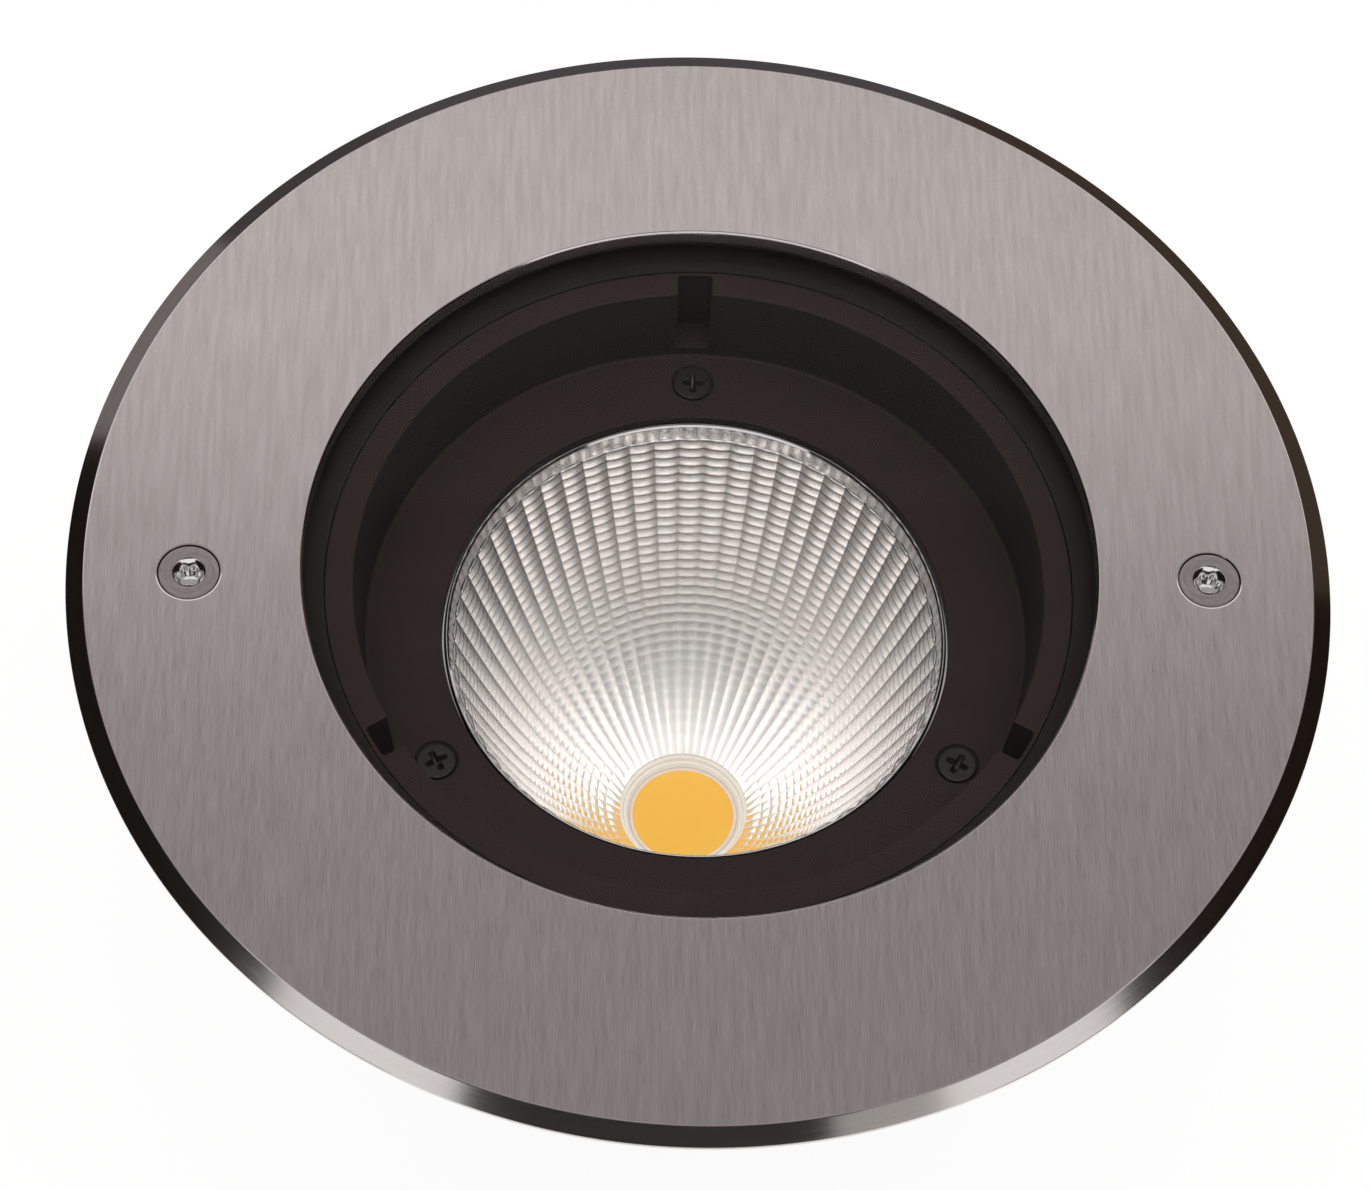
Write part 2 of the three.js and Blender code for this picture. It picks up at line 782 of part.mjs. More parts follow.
// Flat facets in rows and columns inside, a plain skin with a flange outside
function reflector() {
  const rowStep = (reflectorMouth - reflectorNeck) / facetRows;
  const rows = Array.from({ length: facetRows + 1 }, (_, i) => {
    const radius = reflectorMouth - i * rowStep;
    return [radius, mirrorHeight(radius)];
  });
  const rimOuter = baffleOpening - fitGap;
  const flangeOuter = baffleScrewCircle - baffleBossRadius - reflectorFlangeGap;
  const flangeTop = floorLow - seatGap;
  const flangeUnder = flangeTop - reflectorFlangeThickness;
  const backTop = mirrorHeight(mirrorRadius(flangeUnder) - reflectorWall);
  const backStep = (backTop - reflectorLow) / backRows;
  const back = Array.from({ length: backRows + 1 }, (_, i) => {
    const height = reflectorLow + i * backStep;
    return [mirrorRadius(height) + reflectorWall, height];
  });
  return ring([
    ...back,
    [flangeOuter, flangeUnder],
    [flangeOuter, flangeTop],
    [rimOuter, flangeTop],
    [rimOuter, reflectorTop],
    ...rows,
  ], facetColumns);
}

function emitter() {
  return spun([
    [0, emitterLow],
    [emitterRadius + emitterDam, emitterLow],
    [emitterRadius + emitterDam, emitterTop],
    [emitterRadius, emitterTop],
    [emitterRadius, emitterTop - emitterInset],
    [0, emitterTop - emitterInset],
  ], headSides);
}

function ledBoard() {
  const half = boardSide / 2;
  return box(-half, half, -half, half, boardLow, boardTop);
}

function thermalPad() {
  const half = boardSide / 2;
  return box(-half, half, -half, half, padLow, padTop);
}

function ledHolder() {
  const blank = ring([
    [emitterRadius + emitterDam + fitGap, holderLow],
    [holderRadius, holderLow],
    [holderRadius, holderTop],
    [reflectorNeck, holderTop],
    [emitterRadius + emitterDam + fitGap, emitterTop],
  ], ringSides);
  const half = boardSide / 2 + fitGap;
  const pocket = box(-half, half, -half, half, holderLow - overrun, boardTop + seatGap);
  const mouth = holderHeadRadius + fitGap;
  const hole = holderShankRadius + fitGap;
  const sink = () => countersink(mouth, hole, holderTop, holderLow - overrun, shankSides);
  return surface(carved(solid(blank), [pocket, ...onCircle(holderScrewCount, 0, holderScrewCircle, sink)]));
}

function holderScrew(i) {
  const screw = countersunkScrew(holderHeadRadius, holderShankRadius, holderScrewLength, shankSides);
  return screw.translate(holderScrewCircle, 0, holderTop).rotateZ(i * fullTurn / holderScrewCount);
}

function heatSpreader() {
  const blank = solid(rod(spreaderRadius, spreaderLow, spreaderTop, ringSides));
  const holderEnd = holderTop - holderScrewLength - fitGap;
  const [low, high] = [spreaderLow - overrun, spreaderTop + overrun];
  const screwHole = () => rod(holderShankRadius + fitGap, holderEnd, high, shankSides);
  const studHole = () => rod(baffleShankRadius + fitGap, low, high, shankSides);
  return surface(carved(blank, [
    ...onCircle(holderScrewCount, 0, holderScrewCircle, screwHole),
    ...onCircle(slotCount, baffleTurn, baffleScrewCircle, studHole),
    leadHole(low, high),
  ]));
}

// A lead from the holder's edge, down through spreader and web, to the driver's end
function ledLead(side) {
  const x = side * leadSpacing / 2;
  const holderEdge = -holderRadius - fitGap;
  const driverEnd = -driverShift - driverWidth / 2 - fitGap;
  const exit = (holderLow + holderTop) / 2;
  const bend = leadHoleReach / 2;
  const route = new THREE.CatmullRomCurve3([
    new THREE.Vector3(x, holderEdge, exit),
    new THREE.Vector3(x, holderEdge - bend, exit),
    new THREE.Vector3(x, -leadHoleCircle, spreaderTop),
    new THREE.Vector3(x, -leadHoleCircle, potCeiling - leadRise),
    new THREE.Vector3(x, driverEnd - bend, potCeiling - leadDrop),
    new THREE.Vector3(x, driverEnd, potCeiling - leadDrop),
  ]);
  return new THREE.ExtrudeGeometry(polygon(leadRadius, leadSides), { steps: leadSteps, extrudePath: route });
}

function driver() {
  const top = potCeiling - seatGap;
  const low = top - driverHeight;
  const tab = driverTabWidth / 2;
  const body = joined([
    prism(roundedRectangle(driverLength, driverWidth, driverCorner), low, top),
    box(-driverTabReach, driverTabReach, -tab, tab, top - driverTabThickness, top),
  ]);
  const under = top - driverTabThickness - overrun;
  const hole = () => rod(panShankRadius + fitGap, under, top + overrun, shankSides);
  const holes = onCircle(driverScrewPlaces.length, 0, driverScrewReach, hole);
  return surface(carved(body, holes)).translate(0, -driverShift, 0);
}

function driverScrew(i) {
  const under = potCeiling - seatGap - driverTabThickness - seatGap;
  const screw = panScrew(driverTabThickness + panGrip);
  return screw.translate(...driverScrewPlaces[i], under);
}

function terminalBlock() {
  const top = potCeiling - seatGap;
  const low = top - terminalHeight;
  const block = prism(roundedRectangle(terminalLength, terminalWidth, terminalCorner), low, top);
  const screwWay = rod(panShankRadius + fitGap, low - overrun, top + overrun, shankSides);
  const poleStep = terminalLength / poleCount;
  const poles = Array.from({ length: poleCount }, (_, i) => {
    const x = (i + 1 / 2 - poleCount / 2) * poleStep;
    const entry = rod(poleRadius, 0, terminalWidth / 2, shankSides).rotateX(-quarterTurn);
    return entry.translate(x, terminalWidth / 4, (low + top) / 2);
  });
  return surface(carved(solid(block), [screwWay, ...poles])).translate(0, terminalShift, 0);
}

function terminalScrew() {
  const under = potCeiling - seatGap - terminalHeight - seatGap;
  return panScrew(terminalHeight + panGrip).translate(...terminalScrewPlace, under);
}

function baseCover() {
  const grooveInner = potRadius + fitGap;
  const grooveOuter = grooveInner + coverGasketWidth;
  const grooveFloor = coverTop - coverGasketThickness - seatGap;
  const blank = spun([
    [0, 0],
    [coverRadius - coverChamfer, 0],
    [coverRadius, coverChamfer],
    [coverRadius, coverTop],
    [grooveOuter, coverTop],
    [grooveOuter, grooveFloor],
    [grooveInner, grooveFloor],
    [grooveInner, coverTop],
    [0, coverTop],
  ], ringSides);
  const mouth = coverHeadRadius + fitGap;
  const hole = coverShankRadius + fitGap;
  const sink = () => countersink(mouth, hole, 0, -coverTop - overrun, shankSides).rotateX(2 * quarterTurn);
  return surface(carved(solid(blank), onCircle(coverScrewCount, coverTurn, coverScrewCircle, sink)));
}

function baseGasket() {
  const inner = potRadius + fitGap + fitGap / 2;
  const outer = potRadius + coverGasketWidth + fitGap / 2;
  return tube(inner, outer, coverTop - coverGasketThickness, coverTop, ringSides);
}

function baseScrew(i) {
  const screw = countersunkScrew(coverHeadRadius, coverShankRadius, coverScrewLength, shankSides);
  const socketed = driven(screw, hexSocket(coverSocketRadius, coverSocketDepth));
  const turn = coverTurn + i * fullTurn / coverScrewCount;
  return socketed.rotateX(2 * quarterTurn).translate(coverScrewCircle, 0, seatGap).rotateZ(turn);
}

function clampScrew(i) {
  const screw = countersunkScrew(clampHeadRadius, clampShankRadius, clampScrewLength, shankSides);
  const socketed = driven(screw, hexSocket(clampSocketRadius, clampSocketDepth));
  const turn = clampTurn + i * fullTurn / clampScrewCount;
  return socketed.translate(clampScrewCircle, 0, clampTop - seatGap).rotateZ(turn);
}

// A hexagon with a round hole, for the gland's flange and nuts
function hexRing(hole, low, high) {
  const shape = polygon(glandHexRadius, hexSides);
  shape.holes.push(polygon(hole, tubeSides));
  return prism(shape, low, high);
}

// The gland is made along +Z from the pad's face and then laid along +Y
function onGlandAxis(geometry) {
  return geometry.rotateY(quarterTurn).translate(glandFace, 0, glandHeight).rotateZ(quarterTurn);
}

function glandBody() {
  const inside = locknutFace + locknutThickness + glandThreadPastNut;
  const barrelTop = glandFlangeHigh + glandBarrel;
  const sealBore = glandBore + glandSealWall;
  const barrel = ring([
    [glandBore, -inside],
    [glandThreadRadius, -inside],
    [glandThreadRadius, barrelTop],
    [sealBore, barrelTop],
    [sealBore, glandFlangeHigh],
    [glandBore, glandFlangeHigh],
  ], tubeSides);
  const hex = hexRing((glandBore + glandThreadRadius) / 2, glandFlangeLow, glandFlangeHigh);
  return onGlandAxis(surface(joined([barrel, hex])));
}

function glandWasherRing() {
  const inner = glandThreadRadius + fitGap / 2;
  return onGlandAxis(tube(inner, glandHexRadius, seatGap, seatGap + glandWasher, tubeSides));
}

function glandSeal() {
  const high = glandNutLow + glandBarrel - glandSealSquash;
  const outer = glandBore + glandSealWall - fitGap;
  return onGlandAxis(tube(glandBore - glandSealInset, outer, glandNutLow, high, tubeSides));
}

function glandNut() {
  const hexTop = glandNutLow + glandNutHexHeight;
  const top = hexTop + glandNutDome;
  const cavity = glandThreadRadius + fitGap;
  const flat = glandHexRadius * Math.cos(fullTurn / hexSides / 2);
  const dome = ring([
    [cavity, hexTop],
    [flat, hexTop],
    [glandNutTopRadius, top],
    [glandBore, top],
    [glandBore, top - glandNutCap],
  ], tubeSides);
  return onGlandAxis(surface(joined([dome, hexRing(cavity, glandNutLow, hexTop)])));
}

function glandLocknut() {
  const far = locknutFace + locknutThickness;
  return onGlandAxis(hexRing(glandThreadRadius + fitGap, -far, -locknutFace));
}

function ventPlug() {
  const stemEnd = ventFace - potRadius + ventStemPast;
  const plug = spun([
    [0, -stemEnd],
    [ventStemRadius, -stemEnd],
    [ventStemRadius, seatGap],
    [ventHeadRadius, seatGap],
    [ventHeadRadius, ventHeadHeight - ventEdge],
    [ventHeadRadius - ventEdge, ventHeadHeight],
    [0, ventHeadHeight],
  ], tubeSides);
  return plug.rotateY(quarterTurn).translate(ventFace, 0, glandHeight).rotateZ(ventTurn);
}

function finish(color, roughness, metalness) {
  return new THREE.MeshStandardMaterial({ color, roughness, metalness });
}

const brushedSteel = () => finish(0xa39d9a, 0.38, 1);
const screwSteel = () => finish(0xb4b2b0, 0.3, 1);
const blackSteel = () => finish(0x1c1a18, 0.45, 0.6);
const castBlack = () => finish(0x2a2725, 0.7, 0.1);
const baffleBlack = () => finish(0x221f1d, 0.75, 0);
const mirrorSilver = () => finish(0xe6e5e2, 0.12, 1);
const alumin = () => finish(0xb9bbbd, 0.4, 1);
const whitePlastic = () => finish(0xe4e0db, 0.5, 0);
const phosphor = () => finish(0xf0b84e, 0.5, 0);
const ceramic = () => finish(0xf2f0ea, 0.5, 0);
const rubber = () => finish(0x191919, 0.85, 0);
const padGrey = () => finish(0x8b9096, 0.9, 0);
const nickel = () => finish(0xc2bfb8, 0.3, 1);
const redLead = () => finish(0xb02020, 0.5, 0);
const blackLead = () => finish(0x151515, 0.5, 0);

function clearGlass() {
  const material = finish(0xf2f7f5, 0.03, 0);
  material.transparent = true;
  material.opacity = 0.2;
  return material;
}

const lamp = new THREE.Group();
lamp.name = 'ground_spotlight';

function place(name, geometry, material) {
  const mesh = new THREE.Mesh(geometry, material);
  mesh.name = name;
  lamp.add(mesh);
}

// Copies of one piece, their names ending in a number from one
function placeEach(name, count, make, material) {
  for (let i = 0; i < count; i += 1) place(`${name}_${i + 1}`, make(i), material);
}

place('trim_ring', trimRing(), brushedSteel());
for (const [side, turn] of Object.entries(trimScrewTurns)) {
  place(`trim_screw_${side}`, trimScrew(turn), screwSteel());
  place(`screw_retainer_${side}`, screwRetainer(turn), rubber());
}
place('clamp_ring', clampRing(), blackSteel());
placeEach('clamp_screw', clampScrewCount, clampScrew, screwSteel());
place('glass', glass(), clearGlass());
place('glass_gasket', glassGasket(), rubber());
place('housing', housing(), castBlack());
place('baffle', baffle(), baffleBlack());
placeEach('baffle_screw', slotCount, baffleScrew, blackSteel());
placeEach('standoff', slotCount, standoff, nickel());
place('reflector', reflector(), mirrorSilver());
place('led_holder', ledHolder(), whitePlastic());
placeEach('holder_screw', holderScrewCount, holderScrew, screwSteel());
place('led_emitter', emitter(), phosphor());
place('led_board', ledBoard(), ceramic());
place('thermal_pad', thermalPad(), padGrey());
place('heat_spreader', heatSpreader(), alumin());
place('led_lead_red', ledLead(-1), redLead());
place('led_lead_black', ledLead(1), blackLead());
place('driver', driver(), whitePlastic());
placeEach('driver_screw', driverScrewPlaces.length, driverScrew, screwSteel());
place('terminal_block', terminalBlock(), whitePlastic());
place('terminal_screw', terminalScrew(), screwSteel());
place('base_cover', baseCover(), castBlack());
place('base_gasket', baseGasket(), rubber());
placeEach('base_screw', coverScrewCount, baseScrew, screwSteel());
place('gland_body', glandBody(), nickel());
place('gland_washer', glandWasherRing(), rubber());
place('gland_seal', glandSeal(), rubber());
place('gland_nut', glandNut(), nickel());
place('gland_locknut', glandLocknut(), nickel());
place('vent_plug', ventPlug(), blackSteel());

export default lamp;
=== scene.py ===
# %% [markdown]
# # Ground spotlight
# The lamp is sunk into paving, so what shows is its steel ring, its glass and the optics under it.
# A CAD model gives every size and place. This lesson lays finer surfaces and the real
# finishes over it, piece by piece. All lengths below are in millimetres, and +Z is up.

import bmesh
import bpy
import numpy as np
from mathutils import Matrix, Vector


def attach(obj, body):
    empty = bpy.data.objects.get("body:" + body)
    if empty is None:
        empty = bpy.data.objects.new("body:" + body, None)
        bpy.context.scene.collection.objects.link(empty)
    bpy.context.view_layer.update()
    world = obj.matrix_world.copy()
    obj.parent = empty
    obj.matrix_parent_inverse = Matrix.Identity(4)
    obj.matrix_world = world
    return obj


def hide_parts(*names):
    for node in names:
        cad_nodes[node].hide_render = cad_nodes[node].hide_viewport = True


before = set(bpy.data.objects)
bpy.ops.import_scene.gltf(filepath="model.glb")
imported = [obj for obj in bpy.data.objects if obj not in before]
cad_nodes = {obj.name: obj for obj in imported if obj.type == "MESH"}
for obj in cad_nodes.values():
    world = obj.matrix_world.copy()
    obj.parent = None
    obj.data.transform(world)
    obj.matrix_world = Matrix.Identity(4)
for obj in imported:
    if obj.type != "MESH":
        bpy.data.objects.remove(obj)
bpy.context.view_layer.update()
MM = 0.001
TURN = 2 * np.pi

# %% [markdown]
# ## Camera
# The photograph looks down on the lamp at about 60 degrees with a long lens. The lens and the place
# come from the ellipses of the ring, its hole and the reflector's mouth. They were measured from
# the middle of the ring's top, with the lamp turned a few degrees, so that turn is taken out here.

# %% Camera
TRIM_TOP = 128.5
LAMP_TURN = np.radians(3.75)


def in_lamp_axes(vector):
    """A vector of the photograph's axes in the lamp's: turned back round Z by the lamp's turn."""
    return Matrix.Rotation(-LAMP_TURN, 3, "Z") @ Vector(vector)


to_right = in_lamp_axes((0.99793, 0.05551, 0.03257))
downwards = in_lamp_axes((0.06436, -0.86071, -0.50495))
camera_data = bpy.data.cameras.new("camera")
camera_data.sensor_width = 36
camera_data.lens = 117.33
camera = bpy.data.objects.new("camera", camera_data)
turned = Matrix((to_right, -downwards, -to_right.cross(downwards))).transposed()
eye = (in_lamp_axes((-2.2, -361.8, 605.2)) + Vector((0, 0, TRIM_TOP))) * MM
camera.matrix_world = Matrix.Translation(eye) @ turned.to_4x4()
scene = bpy.context.scene
scene.collection.objects.link(camera)
scene.camera = camera
scene.view_settings.view_transform = "Standard"
print("camera at", [round(c, 3) for c in eye])

# %% [markdown]
# ## Shapes from whole arrays
# Nearly every part of this lamp was turned, spun or moulded round one axis. So one helper makes a
# mesh from a grid of points, whose columns go round the axis and whose rows follow the section. It
# also keeps two lengths as a UV map: across the section, and round the axis. Brushed and turned
# steel need them, because their scratches follow the surface.


# %% Surfaces from a grid of points
def smooth(mesh, sharp):
    """Shades a mesh smooth, apart from edges that turn by more than so many degrees."""
    mesh.shade_smooth()
    mesh.set_sharp_from_angle(angle=np.radians(sharp))


def surface(name, points, ring=False, sharp=30, marks=None):
    """A mesh whose faces join each point of a grid to the next in its row and its column.

    Rows close on themselves, and columns too where the section is a ring. Points that fall
    together, as at a pole, are merged, and the faces are turned outwards. A row may have a mark,
    a number that its material can read.
    """
    rows, columns = points.shape[:2]
    i, j = np.meshgrid(np.arange(rows if ring else rows - 1), np.arange(columns), indexing="ij")
    row = np.stack([i, i, i + 1, i + 1], -1).ravel()
    column = np.stack([j, j + 1, j + 1, j], -1).ravel()
    corners = row % rows * columns + column % columns
    mesh = bpy.data.meshes.new(name)
    mesh.from_pydata((points * MM).reshape(-1, 3).tolist(), [], corners.reshape(-1, 4).tolist())
    steps = np.linalg.norm(np.roll(points, -1, 0) - points, axis=-1).mean(1)
    across = np.append(0, np.cumsum(steps))
    round_about = np.linalg.norm(np.roll(points, -1, 1) - points, axis=-1).sum(1)
    lengths = np.stack([across[row], column / columns * round_about[row % rows]], -1) * MM
    mesh.uv_layers.new(name="grain").data.foreach_set("uv", lengths.ravel())
    if marks is not None:
        mark = mesh.attributes.new("mark", "FLOAT", "POINT")
        mark.data.foreach_set("value", np.repeat(marks, columns))
    cleaned = bmesh.new()
    cleaned.from_mesh(mesh)
    bmesh.ops.remove_doubles(cleaned, verts=cleaned.verts, dist=0.002 * MM)
    bmesh.ops.recalc_face_normals(cleaned, faces=cleaned.faces)
    cleaned.to_mesh(mesh)
    cleaned.free()
    smooth(mesh, sharp)
    piece = bpy.data.objects.new(name, mesh)
    scene.collection.objects.link(piece)
    return piece


def eased(corners, reach, steps=3):
    """The [radius, height] corners of a section, each rounded over its reach.

    The rounding is a quadratic curve that starts and ends a reach away from the corner and is drawn
    towards it. A point a little further out at each side keeps the flat faces flat when shaded.
    """
    corners = np.array(corners, float)
    reach = np.broadcast_to(reach, len(corners))[:, None]
    before, after = np.roll(corners, 1, 0) - corners, np.roll(corners, -1, 0) - corners
    before *= reach / np.linalg.norm(before, axis=1, keepdims=True)
    after *= reach / np.linalg.norm(after, axis=1, keepdims=True)
    t = np.linspace(0, 1, steps + 1)[None, :, None]
    curve = corners[:, None] + (1 - t) ** 2 * before[:, None] + t**2 * after[:, None]
    ends = [corners[:, None] + 1.3 * side[:, None] for side in (before, after)]
    return np.concatenate([ends[0], curve, ends[1]], 1).reshape(-1, 2)


def spun(name, section, sides=192, centre=(0, 0), ring=False):
    """A turned part: each [radius, height] point of the section goes round a vertical axis."""
    angle = np.linspace(0, TURN, sides, endpoint=False)
    radius, height = np.array(section, float)[:, :, None].transpose(1, 0, 2)
    x, y = centre[0] + radius * np.cos(angle), centre[1] + radius * np.sin(angle)
    return surface(name, np.stack([x, y, height + 0 * angle], -1), ring)


print("helpers for surfaces are ready")

# %% [markdown]
# ## Holes
# A drilled or milled hole is taken out with a Boolean modifier, as a machine would, because a grid
# of points has no room for it. The modifier is applied at once, so the finished mesh stands alone.


# %% Cutting and joining
def carve(piece, tools, operation="DIFFERENCE", sharp=30):
    """Takes the tools out of the piece, or joins them to it, and removes them."""
    for tool in tools:
        step = piece.modifiers.new("carve", "BOOLEAN")
        step.operation, step.object, step.solver = operation, tool, "EXACT"
    bpy.context.view_layer.update()
    shaped = piece.evaluated_get(bpy.context.evaluated_depsgraph_get())
    mesh = bpy.data.meshes.new_from_object(shaped)
    piece.modifiers.clear()
    piece.data = mesh
    for tool in tools:
        bpy.data.objects.remove(tool)
    smooth(mesh, sharp)


def at_turn(turn, distance):
    """The place on a circle round the lamp's axis."""
    return distance * np.cos(turn), distance * np.sin(turn)


def block(low_x, high_x, half_y, low, high, corner, turn):
    """A tool with a rounded rectangular outline, its corners arcs, turned round the lamp's axis."""
    arc = np.linspace(0, TURN / 4, 5)
    angle = (np.arange(4)[:, None] * TURN / 4 + arc).ravel()
    side = np.repeat(np.arange(4) * TURN / 4 + TURN / 8, 5)
    half_x = (high_x - low_x) / 2
    x = (low_x + high_x) / 2 + np.sign(np.cos(side)) * (half_x - corner) + corner * np.cos(angle)
    y = np.sign(np.sin(side)) * (half_y - corner) + corner * np.sin(angle)
    spread = np.array([0, 1, 1, 0])[:, None]
    x, y = (low_x + half_x) * (1 - spread) + x * spread, y * spread
    z = np.array([low, low, high, high])[:, None] + 0 * x
    points = [x * np.cos(turn) - y * np.sin(turn), x * np.sin(turn) + y * np.cos(turn), z]
    return surface("tool", np.stack(points, -1))


def countersink(centre, mouth, bore, top, end, edge=((0.15, 0.05),)):
    """A tool for a countersunk hole: bore, cone at 45 degrees, straight land and a broken edge.

    The edge is a list of steps outwards and upwards from the mouth's top.
    """
    land = top - 0.08 * mouth - 0.1
    section = [(0, end), (bore, end), (bore, land - mouth + bore), (mouth, land)]
    section += [(mouth, top - 0.1), *((mouth + out, top + up) for out, up in edge)]
    section += [(section[-1][0], top + 2), (0, top + 2)]
    return spun("tool", section, 96, centre)


print("helpers for holes are ready")

# %% [markdown]
# ## Trim ring
# The ring is cut from 3 mm stainless sheet, brushed straight, and its rim is turned down to a bevel
# afterwards. So its section has sharp but broken edges: a bevel, a thin side and a small chamfer
# under it. The hole's edge has a small chamfer too, which catches the light as a fine bright line.
# Two countersunk holes take the screws that hold the ring down, and brushing has softened their
# edge.

# %% Trim ring
HOLE, BEVEL, RIM, TRIM_LOW = 62.8, 97.1, 100.0, 125.5
SCREW_TURNS = {"left": np.radians(182.2), "right": np.radians(-2.2)}
SCREW_CIRCLE = 80.6
SOFT_EDGE = ((0.07, -0.025), (0.4, 0.01))
ring_corners = [(HOLE, TRIM_LOW), (99.1, TRIM_LOW), (RIM, 126.4), (RIM, 127.0)]
ring_corners += [(BEVEL, TRIM_TOP), (HOLE + 0.34, TRIM_TOP), (HOLE, TRIM_TOP - 0.31)]
ring_reach = [0.2, 0.2, 0.15, 0.12, 0.16, 0.08, 0.08]
trim_ring = spun("trim_ring_fine", eased(ring_corners, ring_reach), 360, ring=True)
sinks = [
    countersink(at_turn(turn, SCREW_CIRCLE), 4.95, 2.8, TRIM_TOP, TRIM_LOW - 2, SOFT_EDGE)
    for turn in SCREW_TURNS.values()
]
carve(trim_ring, sinks, sharp=3.9)


def of_faces(mesh, what):
    """One vector for each face of a mesh, such as its middle or its normal."""
    vectors = np.zeros(len(mesh.polygons) * 3)
    mesh.polygons.foreach_get(what, vectors)
    return vectors.reshape(-1, 3)


def on_flat_top(mesh):
    """Which faces lie on the ring's flat top: level to a thousandth, and inside the bevel."""
    x, y, _ = of_faces(mesh, "center").T
    return (of_faces(mesh, "normal")[:, 2] > 0.999) & (np.hypot(x, y) < BEVEL * MM)


def grain_map(mesh):
    """Lengths across and along the scratches, for each face corner.

    On the flat top the scratches run along Y: across is X and along is Y. Elsewhere they run round
    the rim: across is height less radius, and along is the angle times the rim's radius, counted
    from the face's own side of the seam.
    """
    places = np.zeros(len(mesh.vertices) * 3)
    mesh.vertices.foreach_get("co", places)
    of_corner, counts = np.zeros(len(mesh.loops), int), np.zeros(len(mesh.polygons), int)
    mesh.loops.foreach_get("vertex_index", of_corner)
    mesh.polygons.foreach_get("loop_total", counts)
    x, y, z = places.reshape(-1, 3)[of_corner].T
    middle = np.repeat(of_faces(mesh, "center"), counts, 0)
    flat = np.repeat(on_flat_top(mesh), counts)
    angle, near = np.arctan2(y, x), np.arctan2(middle[:, 1], middle[:, 0])
    angle += TURN * np.round((near - angle) / TURN)
    across = np.where(flat, x, z - np.hypot(x, y))
    along = np.where(flat, y, angle * RIM * MM)
    layer = mesh.uv_layers.get("grain") or mesh.uv_layers.new(name="grain")
    layer.data.foreach_set("uv", np.stack([across, along], -1).ravel())


grain_map(trim_ring.data)
print("trim ring:", len(trim_ring.data.polygons), "faces")

# %% [markdown]
# ## Screws
# A screw is one turned surface, from the foot of its recess over the head and down to the tip. Only
# the recess isn't round, and there the radius is a function of the angle: a wave with six crests
# for the six-lobe drive, and four arms for the cross drive. A round cone leads into the six lobes,
# so each of its points lies as deep as its radius says. A thread is a ramp in height and angle.


# %% Screw surfaces
def screw(name, centre, top, turn, rows, thread, ring=False):
    """A screw on a vertical axis. Each row is [radius, height under the top], at every angle.

    Between the two heights of the thread the radius also follows a zigzag of height over pitch
    less the angle's share of a turn, which is a helix.
    """
    radius = np.array([np.broadcast_to(r, around.shape) for r, _ in rows])
    height = np.array([np.broadcast_to(z, around.shape) for _, z in rows], float)
    high, low, depth, pitch = thread
    wave = np.abs((height / pitch - around / TURN) % 1 * 2 - 1)
    radius = radius - np.where((height < high) & (height > low), depth * wave, 0)
    x, y = centre[0] + radius * np.cos(around + turn), centre[1] + radius * np.sin(around + turn)
    return surface(name, np.stack([x, y, top + height], -1), ring)


def shank_rows(head, shank, length, pitch):
    """Rows from the head's rim down its cone and shank to the tip, six to a turn of the thread."""
    cone = 0.08 * head + head - shank
    turns = np.arange(-cone - pitch, pitch - length, -pitch / 6)
    rows = [(head, -0.08 * head), (shank, -cone), *((shank, z) for z in turns)]
    return [*rows, (shank, -length), (0.75 * shank, -length), (0, -length)]


around = np.linspace(0, TURN, 96, endpoint=False)
lobes = np.cos(6 * around)
foot, DRIVE, LEAD_IN, HEAD_TOP = 1.86 + 0.25 * lobes, 2.64, 0.84, TRIM_TOP - 0.1
recess = [(0, -2.26), (0.8, -2.323), (1.3 + 0.15 * lobes, -2.362), (1.58 + 0.2 * lobes, -2.384)]
recess += [(1.68 + 0.23 * lobes, -2.3), (1.8 + 0.25 * lobes, -1.4)]
recess += [(foot - 0.01, LEAD_IN * (foot - DRIVE) - 0.05)]
recess += [(r, LEAD_IN * (r - DRIVE)) for r in (foot + 0.03, 0.5 * foot + 1.3, 0.1 * foot + 2.34)]
recess += [(DRIVE, -0.01), (2.7, 0), (2.9, 0)]
head_face = [(3.2, 0), (4.5, 0), (4.66, 0), (4.74, -0.01), (4.8, -0.05), (4.84, -0.12)]
head_face += [(4.85, -0.25)]
screw_rows = recess + head_face + shank_rows(4.85, 2.5, 14, 0.8)
screw_thread = (-3.2, -13, 0.33, 0.8)
steel_screws = {}
for side, turn in SCREW_TURNS.items():
    place = at_turn(turn, SCREW_CIRCLE)
    name = f"trim_screw_{side}_fine"
    steel_screws[side] = screw(name, place, HEAD_TOP, turn, screw_rows, screw_thread)
print("trim screw:", len(steel_screws["left"].data.polygons), "faces")

# %% [markdown]
# ## Glass and the ring that clamps it
# Walk-over glass is toughened, 4 mm thick here and ground at its edge. A steel ring with six small
# countersunk screws presses it on a rubber gasket. All of that shows once the trim ring is lifted.

